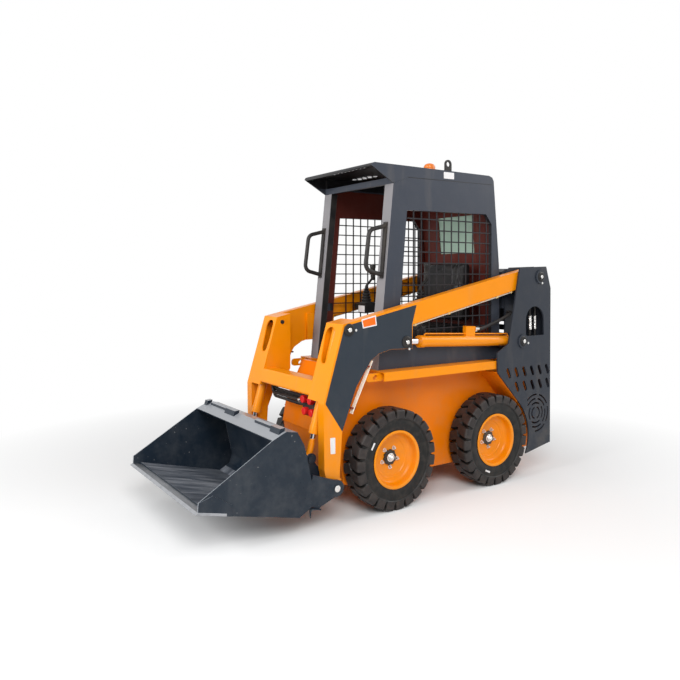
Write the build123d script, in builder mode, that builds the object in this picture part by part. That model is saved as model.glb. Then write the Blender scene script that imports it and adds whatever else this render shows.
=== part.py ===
from build123d import *
import math
import os

# Small wheeled skid steer loader.  Millimetres; +X is the machine's left, -Y its
# front, +Z up.  The origin is on the ground, midway along the machine.  Side
# outlines are lists of (y, z): distance behind the front axle, height above ground.

os.makedirs("parts", exist_ok=True)

# ---- overall reach ---------------------------------------------------------------
LIP_Y = -1223.0                     # bucket's cutting edge, from the front axle
REAR_Y = 1362.0                     # outer face of the rear door
AXLE_Y = -(LIP_Y + REAR_Y) / 2      # front axle in the machine's own frame
WHEELBASE = 809.0
TYRE_R = 285.0                      # out to the lugs' tips

# ---- wheels ----------------------------------------------------------------------
WHEEL_X = 390.5                     # middle plane of a wheel
TYRE_W = 146.0
TREAD_R = 262.0                     # foot of the lugs
LUGS = 23                           # in each of the two rows
LUG_LENGTH = 58.0                   # across the tread
LUG_WIDTH = 44.0                    # round the tread
LUG_SLANT = 24.0                    # degrees from the axle's direction
BEAD_R = 152.4
RIM_FLANGE_R = 165.0
RIM_W = 128.0
RIM_SHEET = 5.0
DISH_R = 114.0                      # where the rim's bowl turns into its flat middle
DISC_AT = -10.0                     # rim disc's outer face, outward of the wheel's middle
HUB_R = 46.0
HUB_THICK = 14.0
STUB_R = 17.0                       # end of the axle in the hub's middle
STUD_CIRCLE_R = 36.0
STUDS = 6
AXLE_SHAFT_R = 22.0
RUN_CLEAR = 0.05                    # radial clearance of pins and shafts that turn
SEAT_GAP = 0.3                      # gap round parts that are only seated
MOVE_GAP = 5.0                      # gap between parts that pass each other

# ---- lower frame -----------------------------------------------------------------
TUB_X = 300.0                       # half width
TUB_WALL = 8.0
TUB_BOTTOM = 145.0
TUB_TOP = 785.0
TUB_REAR_Y = 1327.0
TUB_FRONT = [(-158, TUB_TOP), (-190, 730), (-210, 690), (-286, 534), (-308, 410), (-264, 158)]
TUB_FRONT_FOOT = (-248, TUB_BOTTOM)
SILL_TOP = 360.0                    # lower edge of the rear opening
HOUSING_R = 55.0
HOUSING_END = 332.0                 # outer end of an axle housing

# ---- fenders ---------------------------------------------------------------------
FENDER_X = 450.0
FENDER_SHEET = 6.0
FENDER_FRONT_Y = -90.0
FENDER_REAR_Y = 812.0
FENDER_LIP = 50.0
TAB_X = 402.0                       # middle plane of the upright tie-down tab
TAB_THICK = 12.0
TAB_REACH = 98.0                    # how far the tab stands out in front of the fender
TAB_HEIGHT = 46.0
TAB_HOLE_R = 9.0
TAB_HOLE_LENGTH = 34.0
TAB_HOLE_LEAN = 40.0                # degrees up from the machine's rear direction
PANEL_TURN = 43.4                   # degrees from the rear direction up to the wheel panel's face
PANEL_GAP = 11.4                    # between the rear tyre and the wheel panel
PANEL_ENDS = (22.4, 303.2)          # from the panel's nearest point to the axle, up along it
PANEL_SHEET = 6.0

# ---- lift and tilt pivots, (y, z) ------------------------------------------------
LIFT_PIVOT = (1221.0, 1319.0)
LIFT_BASE = (1049.0, 899.0)         # lift cylinder's pin on the tower
LIFT_EYE = (76.0, 946.0)            # lift cylinder's pin on the arm
BUCKET_PIVOT = (-425.0, 204.0)
TILT_TOP = (-330.0, 1034.0)         # tilt cylinder's pin on the arm
TILT_EYE = (-520.0, 350.0)          # tilt cylinder's pin on the bucket
PIVOT_PIN_R = 22.0
BASE_PIN_R = 18.0
BUCKET_PIN_R = 16.0
TILT_PIN_R = 12.0

# ---- towers ----------------------------------------------------------------------
TOWER_X = 462.7                     # outer face of the outer plate
TOWER_SHEET = 10.0
TOWER_INNER_X = 360.0               # outer face of the inner plate
TOWER_OUTLINE = [
    (1022, 1380), (1283, 1388), (1329, 1243), (1327, 204), (1013, 148),
    (1009, 509), (816, 709), (809, 837), (915, 890),
]
ARCH_Y = (1079.0, 1261.0)           # window of the tower plate, front and rear
ARCH_Z = (930.0, 1123.0)            # bottom, and top of its round head
SLOT_ROWS = [(700.0, 915.0), (606.0, 995.0)]   # height, first slot's y
SLOT_COUNTS = (6, 5)
SLOT_PITCH = 76.0
SLOT_LENGTH = 72.0
SLOT_WIDTH = 26.0
SLOT_LEAN = 114.0                   # degrees from the machine's rear direction
VENT_AT = (1179.0, 416.0)
VENT_RADII = (38.0, 66.0, 94.0, 122.0)
VENT_ANGLES = [(-90, 270), (-45, 315), (-118, 152), (-98, 138)]   # each ring's first and last degree
VENT_COUNTS = (2, 4, 4, 4)          # arcs in each ring
VENT_SLOT_W = 11.0
VENT_BRIDGE = 20.0                  # metal left between two arcs of a ring
TOWER_POST = 8.0                    # sheet across the tower's rear
TOWER_POST_Z = [(820.0, 1235.0), (210.0, 770.0)]
BOSS_R = 46.0
BOSS_THICK = 8.0
WHEEL_ARCH_R = TYRE_R + 15          # tower plate's edge round the rear wheel
TOWER_HOSES_Y = (1188.0, 1238.0)

# ---- lift arms -------------------------------------------------------------------
ARM_X = 442.7                       # outer face
ARM_PLATE = 12.0
BEAM_INNER_X = 385.0
LEG_INNER_X = 280.0                 # inner face of the leg's inner plate
ARM_TOP_FRONT = (-367.0, 1065.0)
ARM_TOP_REAR = (1150.0, 1379.0)
ARM_KNEE = (-491.0, 648.0)
ARM_FOOT_FRONT_Y = -474.0
ARM_BACK = [(-389, 250), (-373, 491), (-348, 551), (-280, 721)]   # leg's rear edge, upward
ARM_CORNER = [(-179, 859), (-121, 893), (-40, 911), (118, 906), (122, 1045)]   # under the beam
BEAM_UNDER_REAR = (1034.0, 1241.0)
ARM_EYE_R = 58.0
FOOT_R = 50.0
LEG_BACK_Y = -270.0
LEG_SHEET = 8.0
CAVITY_TOP = 1035.0                 # over the lift cylinder's eye
CAVITY_FRONT_Y = -30.0
COVER_BOTTOM = 655.0                # lower end of the leg's front cover
COVER_SLOT_Z = (880.0, 1000.0)      # middles of the slot's round ends
COVER_SLOT_R = (31.0, 46.0)         # radii of its lower and upper end
LINE_R = 4.5                        # hard lines on the arms
COUPLERS = [(150.0, 628.0), (222.0, 628.0), (164.0, 562.0), (236.0, 562.0)]   # (x, z)
COUPLER_PLATE_X = (118.0, 262.0)
COUPLER_Y = -420.0                  # front face of their plate
CAP_START = 22.0                    # ahead of the plate
CAP_LENGTH = 30.0
CAP_R = 18.0
LEG_LINES_X = (441.0, 430.0, 419.0)
LEG_LINE = [(-165, 857), (-300, 590)]
LEG_CLAMPS_Z = (836.0, 604.0)
BEAM_LINE_Y = (140.0, 985.0)         # ends of the line under the beam
BEAM_CLAMPS_Y = (150.0, 420.0, 840.0, 978.0)
GUSSET_X = 368.0                    # inner side of the lift cylinder's eye
GUSSET_THICK = 12.0
CROSS_TUBE = (100.0, 84.0)          # depth and height of the tube between the legs

# ---- lift and tilt cylinders -----------------------------------------------------
LIFT_X = 405.0
LIFT_BARREL_R = 33.0
LIFT_BARREL_END = 850.0             # from the base pin
LIFT_GLAND_R = 36.0
LIFT_ROD_R = 17.0
LIFT_ROD_IN = 110.0                 # rod's inner end, from the base pin
LIFT_EYE_R = 35.0
LIFT_EYE_W = 38.0
TILT_X = 335.0
TILT_BARREL_R = 27.0
TILT_BARREL_END = 580.0
TILT_GLAND_R = 29.0
TILT_ROD_R = 14.0
TILT_ROD_IN = 80.0
TILT_EYE_R = 25.0
TILT_EYE_W = 36.0
GLAND_LENGTH = 40.0
LIFT_NECK = 104.0                   # length of the thick end next to a rod's eye
TILT_NECK = 84.0
LIFT_LINE_AT = (84.0, 806.0)        # ends of the line along the lift barrel, from the base pin
LIFT_LINE_RISE = 12.0               # line's middle over the barrel's top
PORT_AT = (398.0, 476.0)            # port block on the lift barrel
PORT_TOP = 92.0                     # over the barrel's middle line
PORT_W = 30.0
HOSE_R = 9.0
LIFT_HOSE_END = (1012.0, 1078.0)    # where the lift cylinder's hose meets the tower, (y, z)

# ---- bucket ----------------------------------------------------------------------
BUCKET_X = 483.7
BUCKET_SIDE = 8.0
BUCKET_SHEET = 9.0
BUCKET_HEEL = (-661.0, 99.8)
BUCKET_LIP = (LIP_Y, 227.5)
BUCKET_BACK = [(-592, 137), (-574, 196), (-584, 254), (-631, 461), (-673, 535)]
BUCKET_TOP_REAR = (-738.0, 547.0)
BUCKET_TOP_FRONT = (-816.0, 512.0)
SIDE_PROUD = 3.0                    # wear plate on a side's front corner
LIP_BARS_X = [(170.0, 362.0), (-404.0, -182.0)]     # flat bars on the bucket's top
LIP_LUGS_X = [(366.0, 462.0), (-178.0, -56.0), (-470.0, -430.0)]
EDGE_DEPTH = 160.0
EDGE_THICK = 14.0
EAR_X = 471.0                       # outer face of the outer ear
EAR_THICK = 16.0
BRACKET_THICK = 9.0
SPIKE_Y = -585.0                    # peg under each ear
SPIKE_Z = (78.0, 124.0)
SPIKE_R = (2.5, 8.0)                # at its tip and at its root

# ---- cab -------------------------------------------------------------------------
CAB_X = 362.0
CAB_WALL = 28.0
CAB_POST_W = 52.0
CAB_FRONT_TOP = (45.0, 1862.0)
CAB_FRONT_FOOT = (-65.0, 786.0)
CAB_REAR_TOP = (885.0, 1905.0)
CAB_REAR_KNEE = (933.0, 1397.0)
CAB_REAR_FOOT_Y = 940.0
ROOF_TOP = 1972.0
ROOF_UNDER = 1904.0
ROOF_SHEET = 6.0
VISOR_Y = -117.0
WINDOW = [(80, 950), (146, 1712), (813, 1721), (864, 1658), (864, 950)]
MESH_PITCH_Y = 62.0
MESH_PITCH_Z = 66.0
MESH_BAR = 7.0
MESH_LAYER = 5.0
MESH_Y = (146.0, 864.0)
MESH_Z = (1006.0, 1721.0)
LINER = 4.0
HEADER = (45.0, 85.0, 1866.0, 1900.0)   # beam over the doorway: front, rear, bottom, top
VISOR_SHEET = 6.0
VISOR_SLOTS = [(-70.0, (-50.0, 0.0, 50.0, 100.0, 150.0, 200.0)), (165.0, (-170.0, -125.0, -80.0, -35.0)),
               (195.0, (-148.0, -103.0, -58.0, -13.0))]     # y, and each slot's x
VISOR_SLOT = (30.0, 13.0)           # a slot's length and width
REAR_GLASS_X = 165.0
REAR_GLASS_Z = (1480.0, 1735.0)
REAR_WALL = 16.0

# ---- inside the cab --------------------------------------------------------------
FLOOR_Z = 400.0
FLOOR_SHEET = 6.0
SEAT_BOX_Y = 420.0
SEAT_BOX_Z = 900.0
SEAT_W = 430.0
CUSHION_Y = (430.0, 850.0)
CUSHION_THICK = 100.0
BACKREST_Z = (1010.0, 1425.0)
BACKREST_Y = (730.0, 850.0)
BACKREST_ARM_Z = (1080.0, 1200.0)   # bracket from the backrest to the cab's wall
CONSOLE_X = (215.0, 304.0)
CONSOLE_Y = (-25.0, 520.0)
CONSOLE_Z = (1090.0, 1140.0)
WING_Y = (12.0, 88.0)               # console's bracket to the cab's side
LEVER_X = 262.0
LEVER_Y = 20.0
LEVER_TOP = 1400.0

# ---- on the cab ------------------------------------------------------------------
HANDLE_X = 327.0
HANDLE_TUBE_R = 12.5
HANDLE_REACH = 125.0
HANDLE_Z = (1330.0, 1618.0)
EYE_PLATE_X = 330.0
EYE_PLATE_Y = 505.0
EYE_PLATE_TOP = ROOF_TOP + 90.0
EYE_HOLE_R = 16.0
EYE_PLATE_W = 76.0
EYE_PLATE_THICK = 10.0
BEACON_AT = (100.0, 560.0)
BEACON_R = 36.0
BEACON_TOP = ROOF_TOP + 90.0

# ---- engine bay and rear door ----------------------------------------------------
HOOD_FRONT_Y = CAB_REAR_FOOT_Y + 35.0
HOOD_TOP = 1372.0
HOOD_BOTTOM = 1110.0
HOOD_SHEET = 5.0
ENGINE_Y = (600.0, 1190.0)
ENGINE_Z = (240.0, 840.0)
ENGINE_X = 210.0
DOOR_X = 318.0
DOOR_Z = (366.0, 1100.0)
DOOR_FACE = 16.0                    # thickness of the door's raised middle
DOOR_SHEET = 8.0
DOOR_SLOTS = 9
HINGE_X = -333.0
HINGE_R = 11.0
HINGE_PIN_R = 6.0
HINGE_Z = (480.0, 980.0)
HINGE_LENGTH = 60.0


# ---- planes, outlines and small helpers ------------------------------------------
def side_plane(x):
    """Upright plane across the machine at x; its own axes are y and z of the outlines."""
    return Plane(origin=(x, AXLE_Y, 0), x_dir=(0, 1, 0), z_dir=(1, 0, 0))


def front_plane(y):
    """Upright plane facing forward, y behind the front axle; its own axes are x and z."""
    return Plane(origin=(0, AXLE_Y + y, 0), x_dir=(1, 0, 0), z_dir=(0, -1, 0))


def level_plane(z):
    """Level plane at height z; its own axes are x and y behind the front axle."""
    return Plane(origin=(0, AXLE_Y, z))


def side_slab(x0, x1, outline, mode=Mode.ADD):
    """Flat piece between the planes x0 and x1 with the given side outline."""
    with BuildSketch(side_plane(x0)) as face:
        with BuildLine():
            Polyline(*outline, close=True)
        make_face()
    extrude(face.sketch, amount=x1 - x0, mode=mode)


def side_disc(x0, x1, at, radius, mode=Mode.ADD):
    """Round piece along X between x0 and x1, centred on the (y, z) point at."""
    with BuildSketch(side_plane(x0)) as face:
        with Locations(at):
            Circle(radius)
    extrude(face.sketch, amount=x1 - x0, mode=mode)


def block(x, y, z, mode=Mode.ADD):
    """Box between two limits in each direction, y counted from the front axle."""
    with BuildSketch(level_plane(z[0])) as face:
        with Locations(((x[0] + x[1]) / 2, (y[0] + y[1]) / 2)):
            Rectangle(x[1] - x[0], y[1] - y[0])
    extrude(face.sketch, amount=z[1] - z[0], mode=mode)


def between(a, b, t):
    """Point a fraction t of the way from a to b."""
    return (a[0] + (b[0] - a[0]) * t, a[1] + (b[1] - a[1]) * t)


def at_height(a, b, z, behind=0.0):
    """Point of the line through a and b at height z, then moved rearward by behind."""
    y, z = between(a, b, (z - a[1]) / (b[1] - a[1]))
    return (y + behind, z)


def at_y(a, b, y):
    """Point of the line through a and b at distance y behind the front axle."""
    return between(a, b, (y - a[0]) / (b[0] - a[0]))


def finish(piece, name):
    """Label a piece and write its file."""
    piece.label = name
    export_step(piece, f"parts/{name}.step")


def finish_pair(piece, name):
    """Write the left piece and its mirror image on the right."""
    with BuildPart() as right:
        mirror(piece, about=Plane.YZ)
    finish(piece, f"{name}_left")
    finish(right.part, f"{name}_right")


# ---- wheels: built about the Z axis, outer side up, then set on the axles ---------
tyre_half = TYRE_W / 2
tyre_section = [
    (BEAD_R + SEAT_GAP, 56.5), (RIM_FLANGE_R + 1, 59.5), (205.0, tyre_half), (238.0, tyre_half - 2),
    (TREAD_R - 4, tyre_half - 12),
]
lug_lean = LUG_LENGTH * math.tan(math.radians(LUG_SLANT)) / 2
lug_reach = LUG_WIDTH / 2 + lug_lean            # from the lug's middle to its far corners
lug_top = math.sqrt(TYRE_R**2 - lug_reach**2)
lug_turn = math.degrees(math.asin(lug_reach / TYRE_R))     # sets a lug's corner on the ground
with BuildPart() as tyre:
    with BuildSketch(Plane.XZ):
        with BuildLine():
            Polyline(
                *tyre_section, (TREAD_R, 0), *[(r, -w) for r, w in reversed(tyre_section)],
                close=True,
            )
        make_face()
    revolve(axis=Axis.Z)
    with BuildSketch(Plane.YZ.offset(TREAD_R - 8)) as lug_face:
        with BuildLine():
            Polyline(
                (-lug_reach, 4), (LUG_WIDTH / 2 - lug_lean, 4),
                (lug_reach, 4 + LUG_LENGTH), (lug_lean - LUG_WIDTH / 2, 4 + LUG_LENGTH),
                close=True,
            )
        make_face()
    lug = extrude(lug_face.sketch, amount=lug_top - TREAD_R + 8, mode=Mode.PRIVATE)
    other = lug.mirror(Plane.XY).rotate(Axis.Z, 180 / LUGS)
    with PolarLocations(0, LUGS, start_angle=lug_turn):
        add(lug)
        add(other)

disc_inner = DISC_AT - 8
with BuildPart() as rim:
    with BuildSketch(Plane.XZ):
        with BuildLine():
            Polyline(
                (BEAD_R, -RIM_W / 2 + 6), (RIM_FLANGE_R, -RIM_W / 2 + 3), (RIM_FLANGE_R, -RIM_W / 2),
                (BEAD_R - RIM_SHEET, -RIM_W / 2), (BEAD_R - RIM_SHEET, -8), (DISH_R, 0),
                (HUB_R + 20, disc_inner), (AXLE_SHAFT_R, disc_inner), (AXLE_SHAFT_R, DISC_AT),
                (HUB_R + 16, DISC_AT), (DISH_R, 8), (BEAD_R - 2 * RIM_SHEET, 34),
                (BEAD_R - RIM_SHEET, RIM_W / 2), (RIM_FLANGE_R, RIM_W / 2),
                (RIM_FLANGE_R, RIM_W / 2 - 3), (BEAD_R, RIM_W / 2 - 6), close=True,
            )
        make_face()
    revolve(axis=Axis.Z)

shaft_in = TUB_X + 6 - WHEEL_X
with BuildPart() as hub:
    with BuildSketch(Plane.XZ):
        with BuildLine():
            Polyline(
                (0, shaft_in), (AXLE_SHAFT_R - RUN_CLEAR, shaft_in),
                (AXLE_SHAFT_R - RUN_CLEAR, HOUSING_END + MOVE_GAP - WHEEL_X),
                (HUB_R, HOUSING_END + MOVE_GAP - WHEEL_X), (HUB_R, disc_inner),
                (AXLE_SHAFT_R - SEAT_GAP, disc_inner), (AXLE_SHAFT_R - SEAT_GAP, DISC_AT),
                (HUB_R, DISC_AT), (HUB_R, DISC_AT + HUB_THICK - 4), (HUB_R - 6, DISC_AT + HUB_THICK),
                (STUB_R + 8, DISC_AT + HUB_THICK), (STUB_R + 4, DISC_AT + HUB_THICK + 10),
                (STUB_R, DISC_AT + HUB_THICK + 22), (0, DISC_AT + HUB_THICK + 22), close=True,
            )
        make_face()
    revolve(axis=Axis.Z)
    with BuildSketch(Plane.XY.offset(DISC_AT + HUB_THICK)):
        with PolarLocations(STUD_CIRCLE_R, STUDS):
            Circle(7)
    extrude(amount=12)

for place, axle_y in (("front", 0.0), ("rear", WHEELBASE)):
    wheel_plane = Plane(origin=(WHEEL_X, AXLE_Y + axle_y, TYRE_R), x_dir=(0, 0, -1), z_dir=(1, 0, 0))
    for name, piece in (("tyre", tyre), ("rim", rim), ("hub", hub)):
        with BuildPart(wheel_plane) as placed:
            add(piece.part)
        finish_pair(placed.part, f"{name}_{place}")

# ---- lower frame -----------------------------------------------------------------
tub_side = TUB_FRONT + [TUB_FRONT_FOOT, (TUB_REAR_Y, TUB_BOTTOM), (TUB_REAR_Y, TUB_TOP)]
with BuildPart() as tub:
    side_slab(-TUB_X, TUB_X, tub_side)
    with BuildSketch(side_plane(-TUB_X + TUB_WALL)) as hollow:
        with BuildLine():
            Polyline(*tub_side, close=True)
        make_face()
        offset(amount=-TUB_WALL)
    extrude(hollow.sketch, amount=2 * (TUB_X - TUB_WALL), mode=Mode.SUBTRACT)
    inside_x = (-TUB_X + TUB_WALL, TUB_X - TUB_WALL)
    block(inside_x, (-140, TUB_REAR_Y - TUB_WALL), (TUB_TOP - 2 * TUB_WALL, TUB_TOP), Mode.SUBTRACT)
    block(inside_x, (TUB_REAR_Y - 2 * TUB_WALL, TUB_REAR_Y), (SILL_TOP, TUB_TOP), Mode.SUBTRACT)
    for axle_y in (0.0, WHEELBASE):
        side_disc(-TUB_X, TUB_X, (axle_y, TYRE_R), AXLE_SHAFT_R + 8, Mode.SUBTRACT)
finish(tub.part, "chassis_tub")

with BuildPart() as housings:
    for axle_y in (0.0, WHEELBASE):
        side_disc(TUB_X, HOUSING_END, (axle_y, TYRE_R), HOUSING_R)
        side_disc(TUB_X, TUB_X + 10, (axle_y, TYRE_R), HOUSING_R + 22)
        side_disc(TUB_X, HOUSING_END, (axle_y, TYRE_R), AXLE_SHAFT_R, Mode.SUBTRACT)
    mirror(about=Plane.YZ)
finish(housings.part, "axle_housings")

front_face = TUB_FRONT[:-1]
with BuildPart() as front_sheet:
    side_slab(-TUB_X, TUB_X, front_face + [(y - FENDER_SHEET, z) for y, z in reversed(front_face)])
finish(front_sheet.part, "front_sheet")

tab_length = TAB_REACH + 28         # its rear end is under the fender's top
tab_at = (FENDER_FRONT_Y + 28 - tab_length / 2, TUB_TOP - FENDER_SHEET - TAB_HEIGHT / 2)
with BuildPart() as fender:
    block((TUB_X, FENDER_X), (FENDER_FRONT_Y, FENDER_REAR_Y), (TUB_TOP - FENDER_SHEET, TUB_TOP))
    block((FENDER_X - FENDER_SHEET, FENDER_X), (FENDER_FRONT_Y, FENDER_REAR_Y),
          (TUB_TOP - FENDER_LIP, TUB_TOP))
    with BuildSketch(side_plane(TAB_X - TAB_THICK / 2)) as tab:
        with Locations(tab_at):
            RectangleRounded(tab_length, TAB_HEIGHT, 20)
            SlotOverall(TAB_HOLE_LENGTH, 2 * TAB_HOLE_R, rotation=TAB_HOLE_LEAN, mode=Mode.SUBTRACT)
    extrude(tab.sketch, amount=TAB_THICK)
finish_pair(fender.part, "fender")

# ---- towers ----------------------------------------------------------------------
tower_in = TOWER_X - TOWER_SHEET
arch_r = (ARCH_Y[1] - ARCH_Y[0]) / 2
arch_mid = (ARCH_Y[0] + ARCH_Y[1]) / 2
with BuildPart() as tower_outer:
    side_slab(tower_in, TOWER_X, TOWER_OUTLINE)
    side_disc(tower_in, TOWER_X, (WHEELBASE, TYRE_R), WHEEL_ARCH_R, Mode.SUBTRACT)
    with BuildSketch(side_plane(tower_in)) as windows:
        with Locations((arch_mid, (ARCH_Z[0] + ARCH_Z[1] - arch_r) / 2)):
            Rectangle(2 * arch_r, ARCH_Z[1] - arch_r - ARCH_Z[0])
        with Locations((arch_mid, ARCH_Z[1] - arch_r)):
            Circle(arch_r)
        for ring_r, (start, stop), arcs in zip(VENT_RADII, VENT_ANGLES, VENT_COUNTS):
            step = (stop - start) / arcs
            bridge = math.degrees((VENT_BRIDGE + VENT_SLOT_W) / ring_r)
            for i in range(arcs):
                first = start + i * step + bridge / 2
                arc = Edge.make_circle(ring_r, start_angle=first, end_angle=first + step - bridge)
                with Locations(VENT_AT):
                    SlotArc(arc, VENT_SLOT_W)
        for (height, first_y), count in zip(SLOT_ROWS, SLOT_COUNTS):
            for i in range(count):
                with Locations((first_y + i * SLOT_PITCH, height)):
                    SlotOverall(SLOT_LENGTH, SLOT_WIDTH, rotation=SLOT_LEAN)
    extrude(windows.sketch, amount=TOWER_SHEET, mode=Mode.SUBTRACT)
    for pin_at, pin_r in ((LIFT_PIVOT, PIVOT_PIN_R), (LIFT_BASE, BASE_PIN_R)):
        side_disc(TOWER_X, TOWER_X + BOSS_THICK, pin_at, BOSS_R)
        side_disc(TOWER_INNER_X - TOWER_SHEET, tower_in, pin_at, pin_r)
finish_pair(tower_outer.part, "tower_outer")

tower_front, tower_rear = HOOD_FRONT_Y + 20, TUB_REAR_Y - 3
inner_outline = [
    (tower_front, TUB_TOP), (tower_front, 1340), (1040, 1380), (1283, 1388), (tower_rear, 1243),
    (tower_rear, TUB_TOP),
]
with BuildPart() as tower_inner:
    side_slab(TOWER_INNER_X - TOWER_SHEET, TOWER_INNER_X, inner_outline)
    side_slab(TUB_X, TOWER_INNER_X, [
        (tower_front, TUB_TOP), (tower_rear, TUB_TOP), (tower_rear, TUB_TOP + TOWER_SHEET),
        (tower_front, TUB_TOP + TOWER_SHEET),
    ])
    for pin_at, pin_r in ((LIFT_PIVOT, PIVOT_PIN_R), (LIFT_BASE, BASE_PIN_R)):
        side_disc(TOWER_INNER_X - TOWER_SHEET, TOWER_INNER_X, pin_at, pin_r + SEAT_GAP, Mode.SUBTRACT)
    for post_x, post_z in zip((TOWER_INNER_X, TUB_X), TOWER_POST_Z):
        block((post_x, tower_in), (tower_rear - TOWER_POST, tower_rear), post_z)
finish_pair(tower_inner.part, "tower_inner")

panel_out = Vector(1, 0, 0).rotate(Axis.Z, PANEL_TURN)     # away from the axle, in y and z
panel_up = Vector(0, 1, 0).rotate(Axis.Z, PANEL_TURN)
panel_nearest = Vector(WHEELBASE, TYRE_R) + panel_out * (TYRE_R + PANEL_GAP)
panel_at = [panel_nearest + panel_up * end for end in PANEL_ENDS]
with BuildPart() as wheel_panels:
    side_slab(TUB_X, tower_in - SEAT_GAP, [
        (at.X, at.Y) for at in (*panel_at, *(p + panel_out * PANEL_SHEET for p in reversed(panel_at)))
    ])
    mirror(about=Plane.YZ)
finish(wheel_panels.part, "wheel_panels")

# ---- engine, hood, rear frame and door -------------------------------------------
with BuildPart() as engine:
    block((-ENGINE_X, ENGINE_X), ENGINE_Y, ENGINE_Z)
    for engine_side in (-1, 1):
        block(sorted((engine_side * ENGINE_X * 0.6, engine_side * ENGINE_X * 0.9)),
              (ENGINE_Y[0] + 80, ENGINE_Y[1] - 80), (TUB_BOTTOM + TUB_WALL, ENGINE_Z[0]))
finish(engine.part, "engine_block")

hood_x = TOWER_INNER_X - TOWER_SHEET - SEAT_GAP
with BuildPart() as hood:
    side_slab(-hood_x, hood_x, [
        (HOOD_FRONT_Y, HOOD_BOTTOM), (HOOD_FRONT_Y, HOOD_TOP - 20), (1010, HOOD_TOP),
        (1270, HOOD_TOP), (1318, HOOD_TOP - 90), (1318, HOOD_BOTTOM),
    ])
    side_slab(-hood_x + HOOD_SHEET, hood_x - HOOD_SHEET, [
        (HOOD_FRONT_Y + HOOD_SHEET, HOOD_BOTTOM - 1), (HOOD_FRONT_Y + HOOD_SHEET, HOOD_TOP - 24),
        (1012, HOOD_TOP - HOOD_SHEET), (1267, HOOD_TOP - HOOD_SHEET), (1312, HOOD_TOP - 92),
        (1312, HOOD_BOTTOM - 1),
    ], Mode.SUBTRACT)
finish(hood.part, "engine_hood")

frame_x = TOWER_INNER_X - TOWER_SHEET - 1
with BuildPart() as rear_frame:
    with BuildSketch(front_plane(TUB_REAR_Y + 8)) as ring:
        with Locations((0, (SILL_TOP + HOOD_BOTTOM) / 2 - 10)):
            Rectangle(2 * frame_x, HOOD_BOTTOM - SILL_TOP + 40)
            Rectangle(2 * DOOR_X - 60, HOOD_BOTTOM - SILL_TOP - 40, mode=Mode.SUBTRACT)
    extrude(ring.sketch, amount=8)
    for lug_z in HINGE_Z:
        block((HINGE_X - 12, HINGE_X + 8), (TUB_REAR_Y + 8, REAR_Y - 8), (lug_z - 8, lug_z))
        with BuildSketch(level_plane(lug_z)) as hinge_pin:
            with Locations((HINGE_X, REAR_Y - 11)):
                Circle(HINGE_PIN_R)
        extrude(hinge_pin.sketch, amount=HINGE_LENGTH)
finish(rear_frame.part, "rear_frame")

door_back = REAR_Y - DOOR_FACE
slot_span = DOOR_Z[1] - DOOR_Z[0] - 240
with BuildPart() as door:
    with BuildSketch(front_plane(door_back + DOOR_SHEET)) as panel:
        with Locations((0, (DOOR_Z[0] + DOOR_Z[1]) / 2)):
            RectangleRounded(2 * DOOR_X, DOOR_Z[1] - DOOR_Z[0], 20)
            RectangleRounded(2 * DOOR_X - 90, DOOR_Z[1] - DOOR_Z[0] - 90, 20, mode=Mode.SUBTRACT)
    extrude(panel.sketch, amount=DOOR_SHEET)
    with BuildSketch(front_plane(REAR_Y)) as middle:
        with Locations((0, (DOOR_Z[0] + DOOR_Z[1]) / 2)):
            RectangleRounded(2 * DOOR_X - 60, DOOR_Z[1] - DOOR_Z[0] - 60, 16)
        for i in range(DOOR_SLOTS):
            with Locations((0, DOOR_Z[0] + 120 + slot_span * i / (DOOR_SLOTS - 1))):
                SlotOverall(2 * DOOR_X - 200, 22, mode=Mode.SUBTRACT)
    extrude(middle.sketch, amount=DOOR_SHEET)
    for lug_z in HINGE_Z:
        with BuildSketch(level_plane(lug_z + 1)) as knuckle:
            with Locations((HINGE_X, REAR_Y - 11)):
                Circle(HINGE_R)
            with Locations((HINGE_X + 14, REAR_Y - 12)):
                Rectangle(28, 8)
            with Locations((HINGE_X, REAR_Y - 11)):
                Circle(HINGE_PIN_R + RUN_CLEAR, mode=Mode.SUBTRACT)
        extrude(knuckle.sketch, amount=HINGE_LENGTH - 2)
finish(door.part, "rear_door")

# ---- cab -------------------------------------------------------------------------
cab_outline = [
    CAB_FRONT_FOOT, CAB_FRONT_TOP, (154, ROOF_UNDER), CAB_REAR_TOP, CAB_REAR_KNEE,
    (CAB_REAR_FOOT_Y, TUB_TOP + 1),
]
cab_in = CAB_X - CAB_WALL
mesh_x = CAB_X - 16
with BuildPart() as cab_side:
    side_slab(cab_in, CAB_X, cab_outline)
    side_slab(cab_in, CAB_X, WINDOW, Mode.SUBTRACT)
    front_post = [CAB_FRONT_FOOT, CAB_FRONT_TOP, (CAB_FRONT_TOP[0] + 40, CAB_FRONT_TOP[1]),
                  (CAB_FRONT_FOOT[0] + 40, CAB_FRONT_FOOT[1])]
    side_slab(CAB_X - CAB_POST_W, cab_in, front_post)
    bar_y = MESH_Y[0] + MESH_PITCH_Y
    while bar_y < MESH_Y[1] - MESH_BAR:
        top = WINDOW[2][1] if bar_y < WINDOW[2][0] else WINDOW[3][1] + 42
        block((mesh_x, mesh_x + MESH_LAYER), (bar_y - MESH_BAR / 2, bar_y + MESH_BAR / 2),
              (MESH_Z[0] - MESH_PITCH_Z, top + 4))
        bar_y += MESH_PITCH_Y
    bar_z = MESH_Z[0]
    while bar_z < MESH_Z[1] - MESH_BAR:
        front_at = at_height(WINDOW[0], WINDOW[1], bar_z)[0] - 6
        block((mesh_x + MESH_LAYER, mesh_x + 2 * MESH_LAYER), (front_at, WINDOW[3][0] + 4),
              (bar_z - MESH_BAR / 2, bar_z + MESH_BAR / 2))
        bar_z += MESH_PITCH_Z
finish_pair(cab_side.part, "cab_side")

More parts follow.
